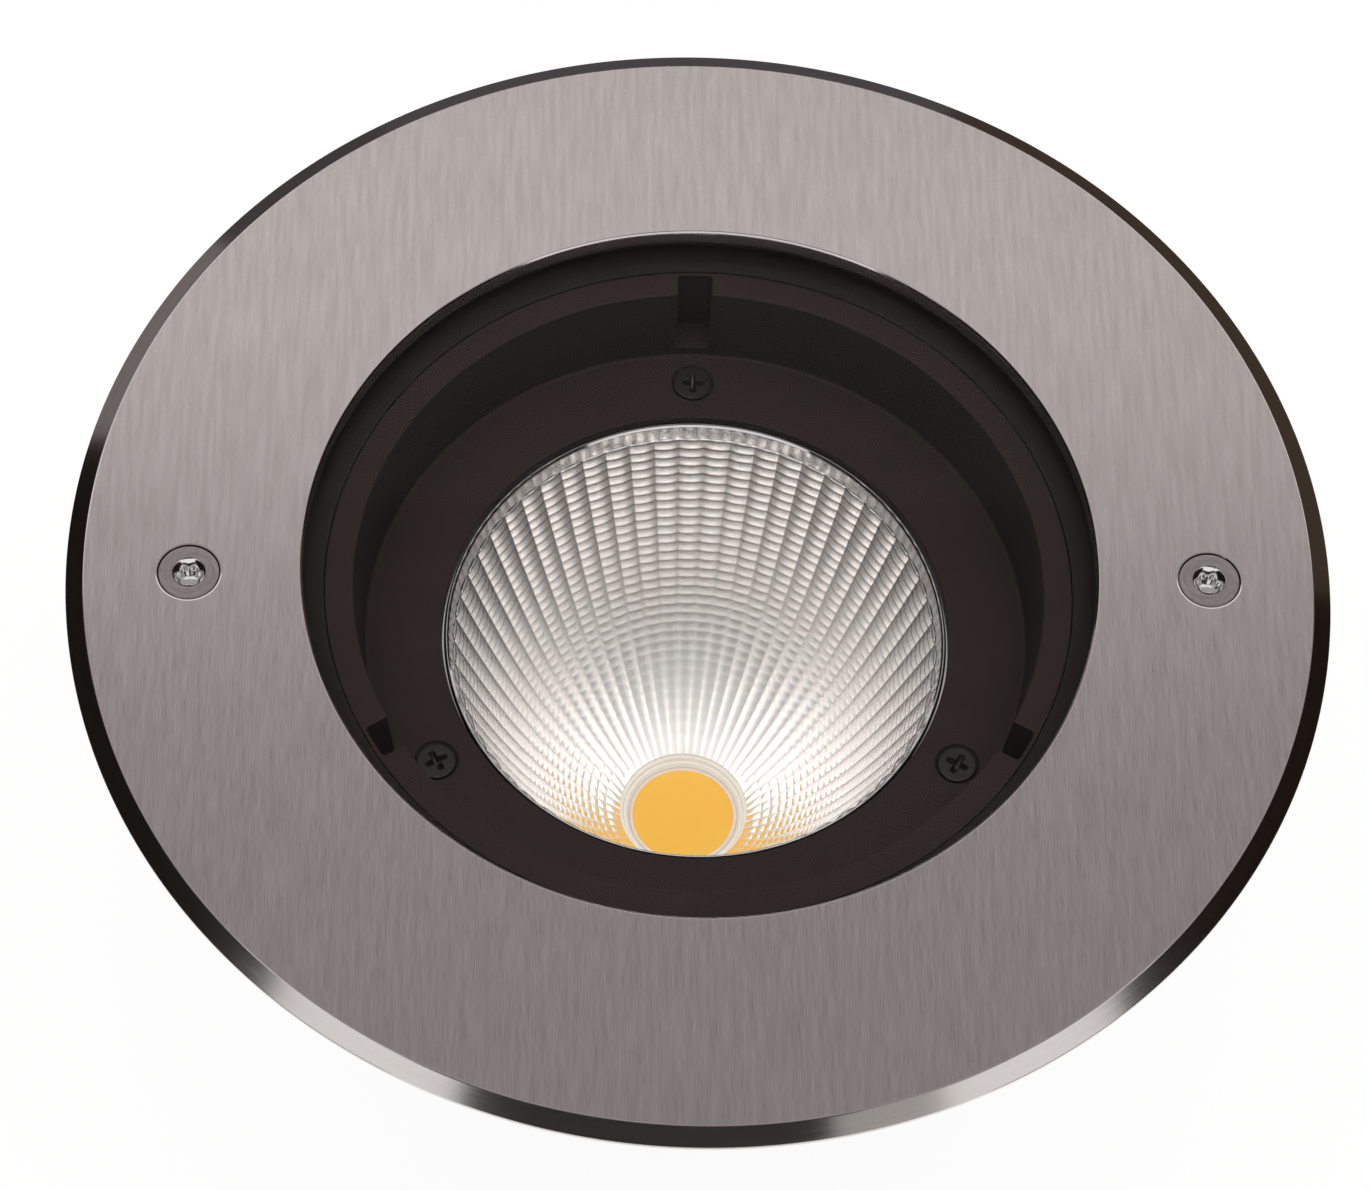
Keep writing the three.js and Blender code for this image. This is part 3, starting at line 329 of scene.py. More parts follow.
# %% Glass, clamp ring and gasket
GLASS_LOW, GLASS_TOP, GLASS_RADIUS = 120.1, 124.1, 66.0
glass_corners = [(0, GLASS_LOW), (GLASS_RADIUS - 0.5, GLASS_LOW), (GLASS_RADIUS, GLASS_LOW + 0.5)]
glass_corners += [(GLASS_RADIUS, GLASS_TOP - 0.5), (GLASS_RADIUS - 0.5, GLASS_TOP), (0, GLASS_TOP)]
glass = spun("glass_fine", eased(glass_corners, [0, 0.12, 0.12, 0.12, 0.12, 0]), 192)
SEAT, CLAMP_RIM, CLAMP_TOP = 66.3, 74.5, 125.4
clamp_corners = [(63.2, 124.2), (SEAT, 124.2), (SEAT, 122.4), (CLAMP_RIM, 122.4)]
clamp_corners += [(CLAMP_RIM, CLAMP_TOP), (63.2, CLAMP_TOP)]
clamp_reach = [0.15, 0.05, 0.1, 0.15, 0.25, 0.15]
clamp_ring = spun("clamp_ring_fine", eased(clamp_corners, clamp_reach), 256, ring=True)
CLAMP_CIRCLE, CLAMP_TURNS = (SEAT + CLAMP_RIM) / 2, np.radians(30 + 60 * np.arange(6))
clamp_places = [at_turn(turn, CLAMP_CIRCLE) for turn in CLAMP_TURNS]
carve(clamp_ring, [countersink(place, 3.2, 1.8, CLAMP_TOP, 120) for place in clamp_places])
gasket_corners = [(59.7, 118), (66, 118), (66, 120), (59.7, 120)]
gasket = spun("glass_gasket_fine", eased(gasket_corners, 0.25), 192, ring=True)
print("clamp ring:", len(clamp_ring.data.polygons), "faces")

# %% [markdown]
# ## Baffle
# The black baffle hides the edge of the reflector from the side. It is one moulding: a ledge under
# the glass, a wall that draws in, and a floor with three screws. Three slots run down behind the
# ledge. The tools of the mould leave small radii, and the ledge's inner edge catches the light.

# %% Baffle
LEDGE, BAFFLE_TURNS = 119.9, np.radians([90, 210, 330])
FLOOR, BAFFLE_CIRCLE = 104.0, 48.1
baffle_corners = [(41.2, 102.5), (55.3, 102.5), (56.7, 118.3), (59.6, 118.3), (59.6, LEDGE)]
baffle_corners += [(55.1, LEDGE), (53.7, FLOOR), (41.2, FLOOR)]
baffle_reach = [0.15, 0.6, 0.5, 0.15, 0.3, 0.28, 0.6, 0.25]
baffle = spun("baffle_fine", eased(baffle_corners, baffle_reach, 4), 240, ring=True)
pockets = [block(55.2, 59.42, 4.5, 104.3, LEDGE - 0.6, 1.2, turn) for turn in BAFFLE_TURNS]
boss = [(0, 100.5), (4.2, 100.5), (4.4, 100.7), (4.4, 103.2), (0, 103.2)]
bosses = [spun("tool", boss, 48, at_turn(turn, BAFFLE_CIRCLE)) for turn in BAFFLE_TURNS]
carve(baffle, pockets + bosses, "UNION")
slots = [block(51.7, 58.9, 2.9, 105.9, 122, 0.7, turn) for turn in BAFFLE_TURNS]
sinks = [countersink(at_turn(turn, BAFFLE_CIRCLE), 3.55, 1.8, FLOOR, 98) for turn in BAFFLE_TURNS]
carve(baffle, slots + sinks)
print("baffle:", len(baffle.data.polygons), "faces")


# %% Black cross-head screws
def cross(reach, half):
    """The outline of a cross: an arm's side or its end at each angle, whichever is nearer."""
    folded = (around + TURN / 8) % (TURN / 4) - TURN / 8
    beside = half / np.maximum(np.abs(np.sin(folded)), 0.01)
    return (reach**-6.0 + beside**-6.0) ** (-1 / 6)


cross_rows = [(0, -1.55), (cross(0.35, 0.24), -1.45), (cross(0.9, 0.34), -1.15)]
cross_rows += [(cross(1.45, 0.42), -0.7), (cross(1.8, 0.48), -0.2), (cross(1.88, 0.53), -0.05)]
cross_rows += [(cross(1.96, 0.6), 0), (2.3, 0), (2.72, 0), (2.8, 0), (2.92, -0.02), (3.04, -0.08)]
cross_rows += [(3.1, -0.18), *shank_rows(3.1, 1.5, 10, 0.5)]
black_screws = []
for i, turn in enumerate(BAFFLE_TURNS):
    place, thread = at_turn(turn, BAFFLE_CIRCLE), (-2.4, -9.3, 0.2, 0.5)
    black_screws.append(screw(f"baffle_screw_{i + 1}_fine", place, FLOOR, turn, cross_rows, thread))
print("black screw:", len(black_screws[0].data.polygons), "faces")

# %% [markdown]
# ## Reflector
# The reflector is a moulded paraboloid with a thin coat of aluminium. Its facets are small pillows
# that stand out a little towards the axis: 58 columns and 33 rows under a plain band. Each throws
# its own small picture of the LED, and together they blur it into one even beam. A row of pillows
# meets the next in a narrow crease. The dark line there is painted shade: each row of points at a
# crease gets a mark, which darkens the coat's colour.

# %% Reflector
NECK, MOUTH, MIRROR_LOW, MIRROR_TOP = 11.1, 40.1, 41.6, 103.1
COLUMNS, IN_COLUMN, ROWS = 58, 8, 33
COLUMN_BULGE, ROW_CURVE, BAND_FLARE = 0.32, 6.5, 0.1


def mirror_radius(height):
    """A parabola: the radius squared grows evenly from the neck to the mouth."""
    share = (height - MIRROR_LOW) / (MIRROR_TOP - MIRROR_LOW)
    return np.sqrt(NECK**2 + share * (MOUTH**2 - NECK**2))


def mirror_slope(height):
    """How much the parabola's radius grows with height."""
    return (MOUTH**2 - NECK**2) / (MIRROR_TOP - MIRROR_LOW) / 2 / mirror_radius(height)


band_steps = np.array([0, 0.06, 0.14, 0.3, 0.5, 0.7, 0.88, 0.96])
row_steps = np.array([0, 0.12, 0.38, 0.62, 0.88])
band_top, band_low, row_height = MIRROR_TOP - 0.35, MIRROR_TOP - 2.8, 1.755
rows_down = np.append((np.arange(ROWS)[:, None] + row_steps).ravel(), ROWS)
height = np.append(band_top - band_steps * (band_top - band_low), band_low - rows_down * row_height)
slope, lean = mirror_slope(height), np.sqrt(1 + mirror_slope(height) ** 2)
in_row = np.append(2 * np.tile(row_steps, ROWS) - 1, 1)
row_bulge = (row_height / 2) ** 2 / 2 / ROW_CURVE * (1 - np.abs(in_row) ** 2.2)
row_bulge = np.append(-BAND_FLARE * (1 - band_steps), row_bulge)
angle = np.linspace(0, TURN, COLUMNS * IN_COLUMN, endpoint=False)
in_column = np.tile(2 * np.arange(IN_COLUMN) / IN_COLUMN - 1, COLUMNS)
half_column = np.pi / COLUMNS * mirror_radius(height)
column_bulge = COLUMN_BULGE * (half_column / half_column[0]) ** 0.8
column_bulge += half_column**2 / 2 / mirror_radius(height)
column_bulge[: len(band_steps)] = 0
bulge = row_bulge[:, None] + column_bulge[:, None] * (1 - in_column**2)
mirror_r = mirror_radius(height)[:, None] - bulge / lean[:, None]
mirror_z = height[:, None] + bulge * (slope / lean)[:, None]
skin = np.linspace(MIRROR_LOW, 101.4, 14)
back = [(11.1, MIRROR_LOW), *((mirror_radius(z) + 0.8, z) for z in skin)]
back += [(43.0, 101.4), (43.1, 101.5), (43.1, 102.3), (43.0, 102.4), (40.9, 102.4)]
back += [(40.7, 102.85), (40.6, 102.97), (40.52, MIRROR_TOP), (40.44, MIRROR_TOP), (40.36, 102.97)]
back_r, back_z = (np.array(back)[:, [k]] + 0 * angle for k in (0, 1))
radius, height = np.vstack([mirror_r, back_r]), np.vstack([mirror_z, back_z])
points = np.stack([radius * np.cos(angle), radius * np.sin(angle), height], -1)
# Painted shade: the crease at the top of each row gets a mark that darkens the coat. It is strong
# at the mouth and gone after about fourteen rows, and the band's top edge and foot get a little.
fading_row_shade = np.clip(0.8 - np.arange(ROWS) / 17, 0, 1)[:, None] * (row_steps == 0)
band_shade_marks = [0.3, 0.2, 0, 0, 0, 0, 0, 0.1]
painted_row_shade = np.concatenate([band_shade_marks, fading_row_shade.ravel(), [0], 0 * back_z[:, 0]])
reflector = surface("reflector_fine", points, ring=True, sharp=9, marks=painted_row_shade)
print("reflector:", len(reflector.data.polygons), "faces")

# %% [markdown]
# ## LED and its holder
# One round chip-on-board LED sits at the foot of the reflector: an amber layer of phosphor gel in a
# white dam. The white holder presses it on its board and leads up to the reflector in two steps.

# %% LED and holder
gel_rim = [(8.45, 39.42), (8.7, 39.46), (8.8, 39.52)]
gel = spun("led_gel", [(0, 39.0), (8.8, 39.0), *reversed(gel_rim), (6, 39.4), (0, 39.4)], 128)
dam_corners = [(8.8, 39.0), (9.3, 39.0), (9.3, 39.55), (9.05, 39.62), (8.8, 39.55)]
dam = spun("led_dam", eased(dam_corners, [0.02, 0.02, 0.08, 0.08, 0.08]), 128, ring=True)
holder_corners = [(9.6, 39.0), (25, 39.0), (25, 41.5), (11.1, 41.5), (11.1, 40.9), (10.55, 40.9)]
holder_corners += [(10.35, 40.2), (9.95, 40.2), (9.6, 39.6)]
holder_reach = [0.1, 0.05, 0.4, 0.12, 0.1, 0.12, 0.1, 0.12, 0.1]
holder = spun("led_holder_top", eased(holder_corners, holder_reach), 160, ring=True)
print("holder:", len(holder.data.polygons), "faces")

# %% [markdown]
# ## Casting
# The housing is die cast in one piece: a pot for the driver, a chamber for the LED and a flange.
# The fins taper to their edge, so that the casting leaves its mould, and a small fillet runs along
# each foot. Fins, bosses and pads are joined on as they lie in the mould, and then the holes are
# drilled.


# %% Fins
def merged(tools):
    """One tool from several that stay clear of each other."""
    joined = bmesh.new()
    for tool in tools:
        joined.from_mesh(tool.data)
        bpy.data.objects.remove(tool)
    mesh = bpy.data.meshes.new("tools")
    joined.to_mesh(mesh)
    joined.free()
    piece = bpy.data.objects.new("tools", mesh)
    scene.collection.objects.link(piece)
    return piece


def fin(turn):
    """A cooling fin: at each height a bar, from inside the wall to the fin's outer edge.

    Half its thickness is 1.25 less a fiftieth of the distance from the wall. A fillet swells it at
    the wall, and two arcs round its outer edge.
    """
    foot, bends = [30.6, 30.75, 31.1, 31.7], [98, 101.5, 103, 106, 110, 113, 117, 120.8]
    z = np.array([*foot, *np.arange(38, 95, 7), *bends])[:, None]
    wall = np.interp(z, [95.4, 102.4, 109.9, 114.9], [56, 62.9, 62.9, 69.3])
    inner = np.interp(z, [99.4, 103.9, 114, 116.4], [54.5, 61.4, 61.4, 67.8])
    edge = np.interp(z, [*foot, 102.4, 120.8], [56.2, 56.6, 56.95, 57.1, 65.9, 81.8])
    arc, corner = np.linspace(0, TURN / 4, 4), 0.45
    fillet = np.minimum(wall + [-0.1, 0.3, 0.75, 1.4], edge - corner)
    along = np.hstack([inner, fillet, edge - corner + corner * np.sin(arc)])
    swell = np.hstack([[0.9, 0.9, 0.45, 0.12, 0], corner * np.cos(arc) - corner])
    half = 1.25 - (along - wall) / 50 + swell
    along, across = np.hstack([along, along[:, ::-1]]), np.hstack([half, -half[:, ::-1]])
    ends = along[[0, -1]].mean(1, keepdims=True) + 0 * along[:2]
    along, across = np.vstack([ends[:1], along, ends[1:]]), np.pad(across, ((1, 1), (0, 0)))
    z = np.vstack([z[:1], z, z[-1:]]) + 0 * along
    x = along * np.cos(turn) - across * np.sin(turn)
    y = along * np.sin(turn) + across * np.cos(turn)
    return surface("tool", np.stack([x, y, z], -1))


fin_turns = [*((np.arange(20) + 0.5) * TURN / 20), *SCREW_TURNS.values()]
print("fins:", len(fin_turns))


# %% Casting
def sideways(piece, turn):
    """Lays a piece made round +Z on a level line out from the lamp's axis, at gland height."""
    lay = Matrix.Rotation(turn, 4, "Z") @ Matrix.Rotation(TURN / 4, 4, "Y")
    piece.data.transform(Matrix.Translation((0, 0, GLAND_HEIGHT * MM)) @ lay)
    return piece


def pin(centre, *section):
    """A round boss or a drill: the [radius, height] points of its side, closed at both ends."""
    return spun("tool", [(0, section[0][1]), *section, (0, section[-1][1])], 48, centre)


GLAND_HEIGHT, VENT_TURN = 15.3, np.radians(150)
COVER_CIRCLE, COVER_TURNS = 39.8, np.radians(45 + 90 * np.arange(4))
PAD_FACE, VENT_FACE, GASKET_LOW, FLANGE = 41.5, 40.5, 5.1, 87.1
cast_corners = [(0, 27.1), (35.5, 27.1), (35.5, GASKET_LOW), (38.5, GASKET_LOW), (38.5, 25.6)]
cast_corners += [(52, 25.6), (56, 29.6), (56, 95.4), (62.9, 102.4), (62.9, 109.9), (69.3, 114.9)]
cast_corners += [(69.3, 119.3), (FLANGE, 119.3), (FLANGE, CLAMP_TOP), (74.8, CLAMP_TOP)]
cast_corners += [(74.8, 122.3), (SEAT, 122.3), (SEAT, 117.9), (59.9, 117.9), (59.9, 102.4)]
cast_corners += [(53, 102.4), (53, 30.6), (0, 30.6)]
cast_reach = [0, 1, 0.4, 0.4, 1.2, 1.5, 1.5, 2, 2, 1.6, 1.6, 1, 0.8, 0.9, 0.4]
cast_reach += [0.1, 0.1, 0.1, 0.3, 0.1, 0.3, 0.8, 0]
housing = spun("housing_fine", eased(cast_corners, cast_reach), 192)
screw_places = [at_turn(turn, SCREW_CIRCLE) for turn in SCREW_TURNS.values()]
cover_places = [at_turn(turn, COVER_CIRCLE) for turn in COVER_TURNS]
bosses = [pin(spot, (3.1, 114.3), (3.5, 114.8), (3.6, 116), (3.6, 120.9)) for spot in clamp_places]
bosses += [pin(spot, (5.8, 108.3), (6.35, 109), (6.5, 111), (6.5, 120.9)) for spot in screw_places]
bosses += [pin(spot, (3.7, 5.15), (3.7, 16), (3.2, 17.1)) for spot in cover_places]
bosses += [block(33.9, PAD_FACE, 11.5, 5.15, 28, 0.8, TURN / 4)]
vent_pad = sideways(pin((0, 0), (7, 37), (7, 40.2), (6.7, VENT_FACE)), VENT_TURN)
carve(housing, [merged([*map(fin, fin_turns), vent_pad]), merged(bosses)], "UNION")
drills = [pin(spot, (1.8, 115.5), (1.8, 124)) for spot in clamp_places]
drills += [pin(spot, (2.8, 112), (2.8, 124), (4.5, 124), (4.5, 127)) for spot in screw_places]
drills += [pin(spot, (2.3, 4), (2.3, 16)) for spot in cover_places]
drills += [pin(at_turn(turn, BAFFLE_CIRCLE), (1.8, 27.6), (1.8, 32)) for turn in BAFFLE_TURNS]
drills += [pin((0, -30), (3.2, 26), (3.2, 32))]
drills += [sideways(pin((0, 0), (7.9, 20), (7.9, 45)), TURN / 4)]
drills += [sideways(pin((0, 0), (4.3, 20), (4.3, 45)), VENT_TURN)]
carve(housing, [merged(drills)])
print("casting:", len(housing.data.polygons), "faces")

# %% [markdown]
# ## Under the lamp
# The base cover, its four screws, the cable gland and the vent plug are what an installer sees from
# below. The gland and the vent are turned parts too. They are made upright and then laid on their
# sides. A hexagon's radius is its half width over the cosine of the angle from the nearest flat.


# %% Base cover and hexagon-socket screws
def turned_over(piece):
    """Turns a piece by half a turn round the X axis."""
    piece.data.transform(Matrix.Rotation(TURN / 2, 4, "X"))
    return piece


def hexagon(flat):
    """The radius of a hexagon at each angle round it."""
    return flat / np.cos((around + TURN / 12) % (TURN / 6) - TURN / 12)


def socket_screw(name, place, top, head, shank, length, flat, depth):
    """A countersunk screw with a hexagon socket."""
    rows = [(0, -depth - 0.3), (hexagon(0.6 * flat), -depth - 0.1), (hexagon(flat), -depth)]
    rows += [(hexagon(flat), -0.15), (hexagon(1.12 * flat), 0), (head - 0.5, 0)]
    rows += [(head - 0.3, -0.01), (head - 0.08, -0.06), (head, -0.16)]
    thread = (shank - head - 0.8, 0.8 - length, 0.13 * shank, 0.35 * shank)
    return screw(name, place, top, 0, rows + shank_rows(head, shank, length, thread[3]), thread)


cover_corners = [(0, 0), (42.5, 0), (43.5, 1), (43.5, 5), (37.9, 5), (37.9, 3.4)]
cover_corners += [(35.8, 3.4), (35.8, 5), (0, 5)]
cover_reach = [0, 0.3, 0.3, 0.3, 0.2, 0.1, 0.1, 0.2, 0]
base_cover = spun("base_cover_fine", eased(cover_corners, cover_reach), 192)
under_places = [at_turn(-turn, COVER_CIRCLE) for turn in COVER_TURNS]
carve(base_cover, [turned_over(countersink(place, 4.05, 2.3, 0, -7)) for place in under_places])
base_screws = [
    turned_over(socket_screw(f"base_screw_{i + 1}_fine", place, -0.1, 3.75, 2, 14, 1.25, 1.6))
    for i, place in enumerate(under_places)
]
clamp_screws = [
    socket_screw(f"clamp_screw_{i + 1}_fine", place, CLAMP_TOP - 0.1, 2.9, 1.5, 9, 1, 1.2)
    for i, place in enumerate(clamp_places)
]
print("base cover:", len(base_cover.data.polygons), "faces")


# %% Cable gland and vent plug
def hex_side(low, high):
    """The rows of a hexagon's side, whose corners a turned cone cuts at both ends."""
    side = hexagon(GLAND_FLAT)
    end, near_end = np.minimum(side, GLAND_FLAT + 0.5), np.minimum(side, GLAND_FLAT + 1.1)
    rows = [(end, low), (near_end, low + 0.4), (side, low + 0.9)]
    return [*rows, (side, high - 0.9), (near_end, high - 0.4), (end, high)]


GLAND_FLAT, POINT_UP = 8.487, TURN / 12
body_rows = [(4.2, -11.7), (7.2, -11.7), *((7.6, z) for z in np.arange(-11.4, 0.3, 0.25))]
body_rows += [(7.6, 1.2), *hex_side(1.2, 6.2), (7.6, 6.2), (7.6, 12.4), (7.3, 12.7)]
body_rows += [(5.9, 12.7), (5.9, 6.2), (4.2, 6.2)]
nut_rows = [(7.9, 6.3), *hex_side(6.3, 14.3), (8.3, 14.4), (8.2, 15.2), (7.9, 16.7), (7.45, 18)]
nut_rows += [(7, 18.9), (6.6, 19.25), (6.3, 19.3), (4.5, 19.3), (4.2, 19), (4.2, 17.3), (7.9, 14.3)]
body_thread, NO_THREAD = (-0.5, -11.2, 0.5, 1.5), (0, 0, 0, 1)
gland_body = screw("gland_body_fine", (0, 0), PAD_FACE, POINT_UP, body_rows, body_thread, ring=True)
gland_nut = screw("gland_nut_fine", (0, 0), PAD_FACE, POINT_UP, nut_rows, NO_THREAD, ring=True)
grip = 6.4 + 0.22 * np.cos(24 * around) - 0.22
vent_rows = [(0, -6.5), (3.6, -6.5), (4, -6.1), (4, 0.1), (6.1, 0.1), (grip, 0.4), (grip, 2.6)]
vent_rows += [(6.1, 3.1), (5.75, 3.4), (5.4, 3.5), (3.5, 3.5), (3.3, 3.42), (3.1, 3), (2.9, 2.9)]
vent_rows += [(0, 2.9)]
vent_plug = screw("vent_plug_fine", (0, 0), VENT_FACE, 0, vent_rows, NO_THREAD)
for piece, turn in ((gland_body, TURN / 4), (gland_nut, TURN / 4), (vent_plug, VENT_TURN)):
    sideways(piece, turn)
print("gland nut:", len(gland_nut.data.polygons), "faces")

# %% [markdown]
# ## Materials: one helper
# A material is a tree of nodes. One function adds a node with its settings and its links, and one
# turns a colour as a screen shows it into the light that it stands for.


# %% Material helpers
def linear(colour):
    """An sRGB hex colour as linear light: each channel over 255, then the sRGB curve undone."""
    channel = np.array([int(colour[k : k + 2], 16) for k in (1, 3, 5)]) / 255
    return (*np.where(channel <= 0.04045, channel / 12.92, ((channel + 0.055) / 1.055) ** 2.4), 1)


def node(tree, kind, inputs=(), **settings):
    """Adds a node. Each of its inputs is linked where the value is a socket, and set otherwise."""
    made = tree.nodes.new("ShaderNode" + kind)
    for name, value in settings.items():
        setattr(made, name, value)
    for name, value in dict(inputs).items():
        if isinstance(value, bpy.types.NodeSocket):
            tree.links.new(value, made.inputs[name])
        else:
            made.inputs[name].default_value = value
    return made


def material(name):
    """An empty material and its tree."""
    made = bpy.data.materials.new(name)
    made.use_nodes = True
    made.node_tree.nodes.clear()
    return made, made.node_tree


def grains(tree, place, size, detail):
    """A noise pattern whose grains have this size in millimetres along each axis."""
    scale = [1 / (length * MM) for length in np.broadcast_to(size, 3)]
    stretched = node(tree, "Mapping", {"Vector": place, "Scale": scale}).outputs[0]
    noise = {"Vector": stretched, "Scale": 1, "Detail": detail}
    return node(tree, "TexNoise", noise).outputs["Fac"]


def shaded(tree, sockets):
    """Ends a material: a Principled shader with these sockets, and its output."""
    shader = node(tree, "BsdfPrincipled", sockets)
    node(tree, "OutputMaterial", {"Surface": shader.outputs[0]})


def grained(tree, fine, broad, parts, light, dark, roughness, depth, sockets):
    """A shader that follows two noise patterns, of which each runs from about 0.3 to 0.7.

    The colour goes from dark to light by a sum, to which each pattern gives its part. Roughness
    goes from its first value to its second by the fine pattern, whose relief is so many
    millimetres deep.
    """
    runs = {"From Min": 0.3, "From Max": 0.7}
    share = [
        node(tree, "MapRange", {"Value": pattern, **runs, "To Min": 0, "To Max": part}).outputs[0]
        for pattern, part in zip((fine, broad), parts)
    ]
    share = node(tree, "Math", {0: share[0], 1: share[1]}, operation="ADD").outputs[0]
    colour = {0: share, 6: linear(dark), 7: linear(light)}
    colour = node(tree, "Mix", colour, data_type="RGBA").outputs[2]
    rough = {"Value": fine, **runs, "To Min": roughness[0], "To Max": roughness[1]}
    rough = node(tree, "MapRange", rough).outputs[0]
    relief = node(tree, "Bump", {"Height": fine, "Distance": depth * MM, "Strength": 1}).outputs[0]
    shaded(tree, {"Base Color": colour, "Roughness": rough, "Normal": relief, **sockets})


print("material helpers are ready")

# %% [markdown]
# ## Steel
# Stainless sheet keeps long fine scratches from the brushing belt. Each one is a groove, so a
# highlight spreads across the scratches and stays short along them. That is anisotropy, and its
# direction comes from the map of lengths. Real scratches are a few hundredths of a millimetre wide,
# which is too fine to show, so they are drawn 0.15 mm wide. The bevel was turned on a lathe, so its
# scratches run round and it is smoother: it mirrors the room almost sharply. A screw's drive was
# struck with a punch, which leaves it smoother, and its near-white steel is a painted highlight.


# %% Brushed and turned stainless steel
def steel(name, light, dark, roughness, across, along, depth, anisotropy):
    """Steel with scratches of this width and length, in millimetres, that follow the grain map."""
    made, tree = material(name)
    grain = node(tree, "UVMap", uv_map="grain").outputs[0]
    fine = grains(tree, grain, (across, along, 1), 3)
    broad = grains(tree, grain, (6 * across, 3 * along, 1), 1)
    across_grain = node(tree, "Tangent", direction_type="UV_MAP", uv_map="grain").outputs[0]
    sockets = {"Metallic": 1.0, "Anisotropic": anisotropy, "Tangent": across_grain}
    grained(tree, fine, broad, (0.7, 0.3), light, dark, roughness, depth, sockets)
    return made


brushed = steel(
    "stainless_sheet_brushed", "#faf0ee", "#cbbfbc", (0.26, 0.42), 0.15, 4.2, 0.008, 0.85
)
turned_edge = steel(
    "stainless_turned_edge", "#efe9e6", "#dfd8d5", (0.09, 0.14), 0.12, 40, 0.001, 0.4
)
screw_head = steel(
    "stainless_screw_turned", "#d2c8c6", "#9c9391", (0.24, 0.36), 0.12, 1.5, 0.006, 0.3
)
# Painted highlight: the drive's steel is near white, lighter than the head's, for the light that it
# mirrors.
punch_highlight = steel(
    "stainless_screw_punched", "#fffdfc", "#f6f3f1", (0.07, 0.15), 0.3, 0.3, 0.003, 0.0
)
print("steel:", [made.name for made in (brushed, turned_edge, screw_head, punch_highlight)])

# %% [markdown]
# ## Black parts
# The baffle is painted matt black, the casting is powder coated, and rubber and screws are black in
# their own ways. What tells them apart is grain: paint has a fine tooth, powder coat an orange peel
# about half a millimetre wide, rubber is dull, and black zinc on a screw still has a soft gloss.


# %% Plain finishes with grain
def finish(name, light, dark, roughness, grain, depth, sockets=()):
    """A finish with grains of this size and depth, and broad patches of a slightly other shade."""
    made, tree = material(name)
    place = node(tree, "TexCoord").outputs["Object"]
    fine, broad = grains(tree, place, grain, 3), grains(tree, place, PATCH, 2)
    rough = (roughness - 0.05, roughness + 0.05)
    grained(tree, fine, broad, (0.5, 0.5), light, dark, rough, depth, dict(sockets))
    return made


PATCH = 14
METAL = {"Metallic": 1.0}
dull_gloss = {"Specular IOR Level": 0.2}
baffle_paint = finish("matt_black_paint", "#342b29", "#2d2523", 0.6, 0.25, 0.006, dull_gloss)
powder_coat = finish("powder_coated_casting", "#34302d", "#2a2725", 0.55, 0.6, 0.03)
black_coat = finish("black_coated_steel", "#2c2723", "#231f1c", 0.45, 0.4, 0.01)
black_zinc = finish("black_zinc_screw", "#332f2c", "#272421", 0.36, 0.2, 0.006, {"Metallic": 0.4})
rubber = finish("rubber_epdm", "#241f1c", "#1c1815", 0.8, 0.3, 0.01)
black_nylon = finish("nylon_moulded_black", "#242424", "#1c1c1c", 0.5, 0.35, 0.008)
print("black finishes are ready")

# %% [markdown]
# ## Glass, mirror and LED
# Clear glass bends light by its index of 1.5. The photograph shows no reflection on it, so it has
# an anti-reflective coat, drawn here by darkening its mirror colour. Lamps must shine through it,
# so it is plainly transparent to shadow and diffuse rays. The mirror coat on plastic is bright but
# a little hazy. It throws light down on the LED and its white holder, which the renderer can't
# follow through the glass, so the gel, its dam and the holder give off that light themselves.

# %% Glass
clear_glass, tree = material("toughened_glass_coated")
pane = node(tree, "BsdfPrincipled", {"Base Color": linear("#fdfdfc"), "Roughness": 0.0, "IOR": 1.5})
pane.inputs["Transmission Weight"].default_value = 1
pane.inputs["Specular Tint"].default_value = linear("#404448")
path = node(tree, "LightPath")
lit = {0: path.outputs["Is Shadow Ray"], 1: path.outputs["Is Diffuse Ray"]}
lit = node(tree, "Math", lit, operation="MAXIMUM").outputs[0]
open_way = node(tree, "BsdfTransparent", {"Color": linear("#f8f7f6")})
panes = {0: lit, 1: pane.outputs[0], 2: open_way.outputs[0]}
node(tree, "OutputMaterial", {"Surface": node(tree, "MixShader", panes).outputs[0]})
print("glass:", clear_glass.name)


# %% Mirror, LED and the white and metal parts inside
def lit_by_mirror(colour, strength):
    """The light that a piece at the reflector's foot gives off in the mirror's stead."""
    return {"Emission Color": linear(colour), "Emission Strength": strength}


mirror, tree = material("aluminium_coated_plastic")
haze = grains(tree, node(tree, "TexCoord").outputs["Object"], 0.5, 3)
haze = {"Value": haze, "From Min": 0.3, "From Max": 0.7, "To Min": 0.04, "To Max": 0.09}
haze = node(tree, "MapRange", haze).outputs[0]
# The mark paints shade into the coat's colour along the creases between rows of pillows.
valley_shade = node(tree, "Attribute", attribute_name="mark").outputs["Fac"]
coat = {0: valley_shade, 6: linear("#fbf9f8"), 7: linear("#8f8785")}
coat = node(tree, "Mix", coat, data_type="RGBA").outputs[2]
shaded(tree, {"Base Color": coat, "Roughness": haze, "Metallic": 1.0})
gel_light, dam_light = lit_by_mirror("#f4bd4c", 0.27), lit_by_mirror("#f6e2d8", 0.12)
holder_light = lit_by_mirror("#eef0ea", 0.2)
phosphor = finish("phosphor_gel_amber", "#f6c04f", "#f2ba48", 0.35, 1.5, 0.004, gel_light)
dam_silicone = finish("silicone_dam_white", "#f8ebe4", "#f2e2da", 0.4, 0.4, 0.003, dam_light)
white_pbt = finish("pbt_moulded_white", "#f2efeb", "#eae7e2", 0.42, 0.4, 0.006, holder_light)
ceramic = finish("ceramic_board_white", "#f4f2ec", "#eceae4", 0.35, 0.3, 0.003)
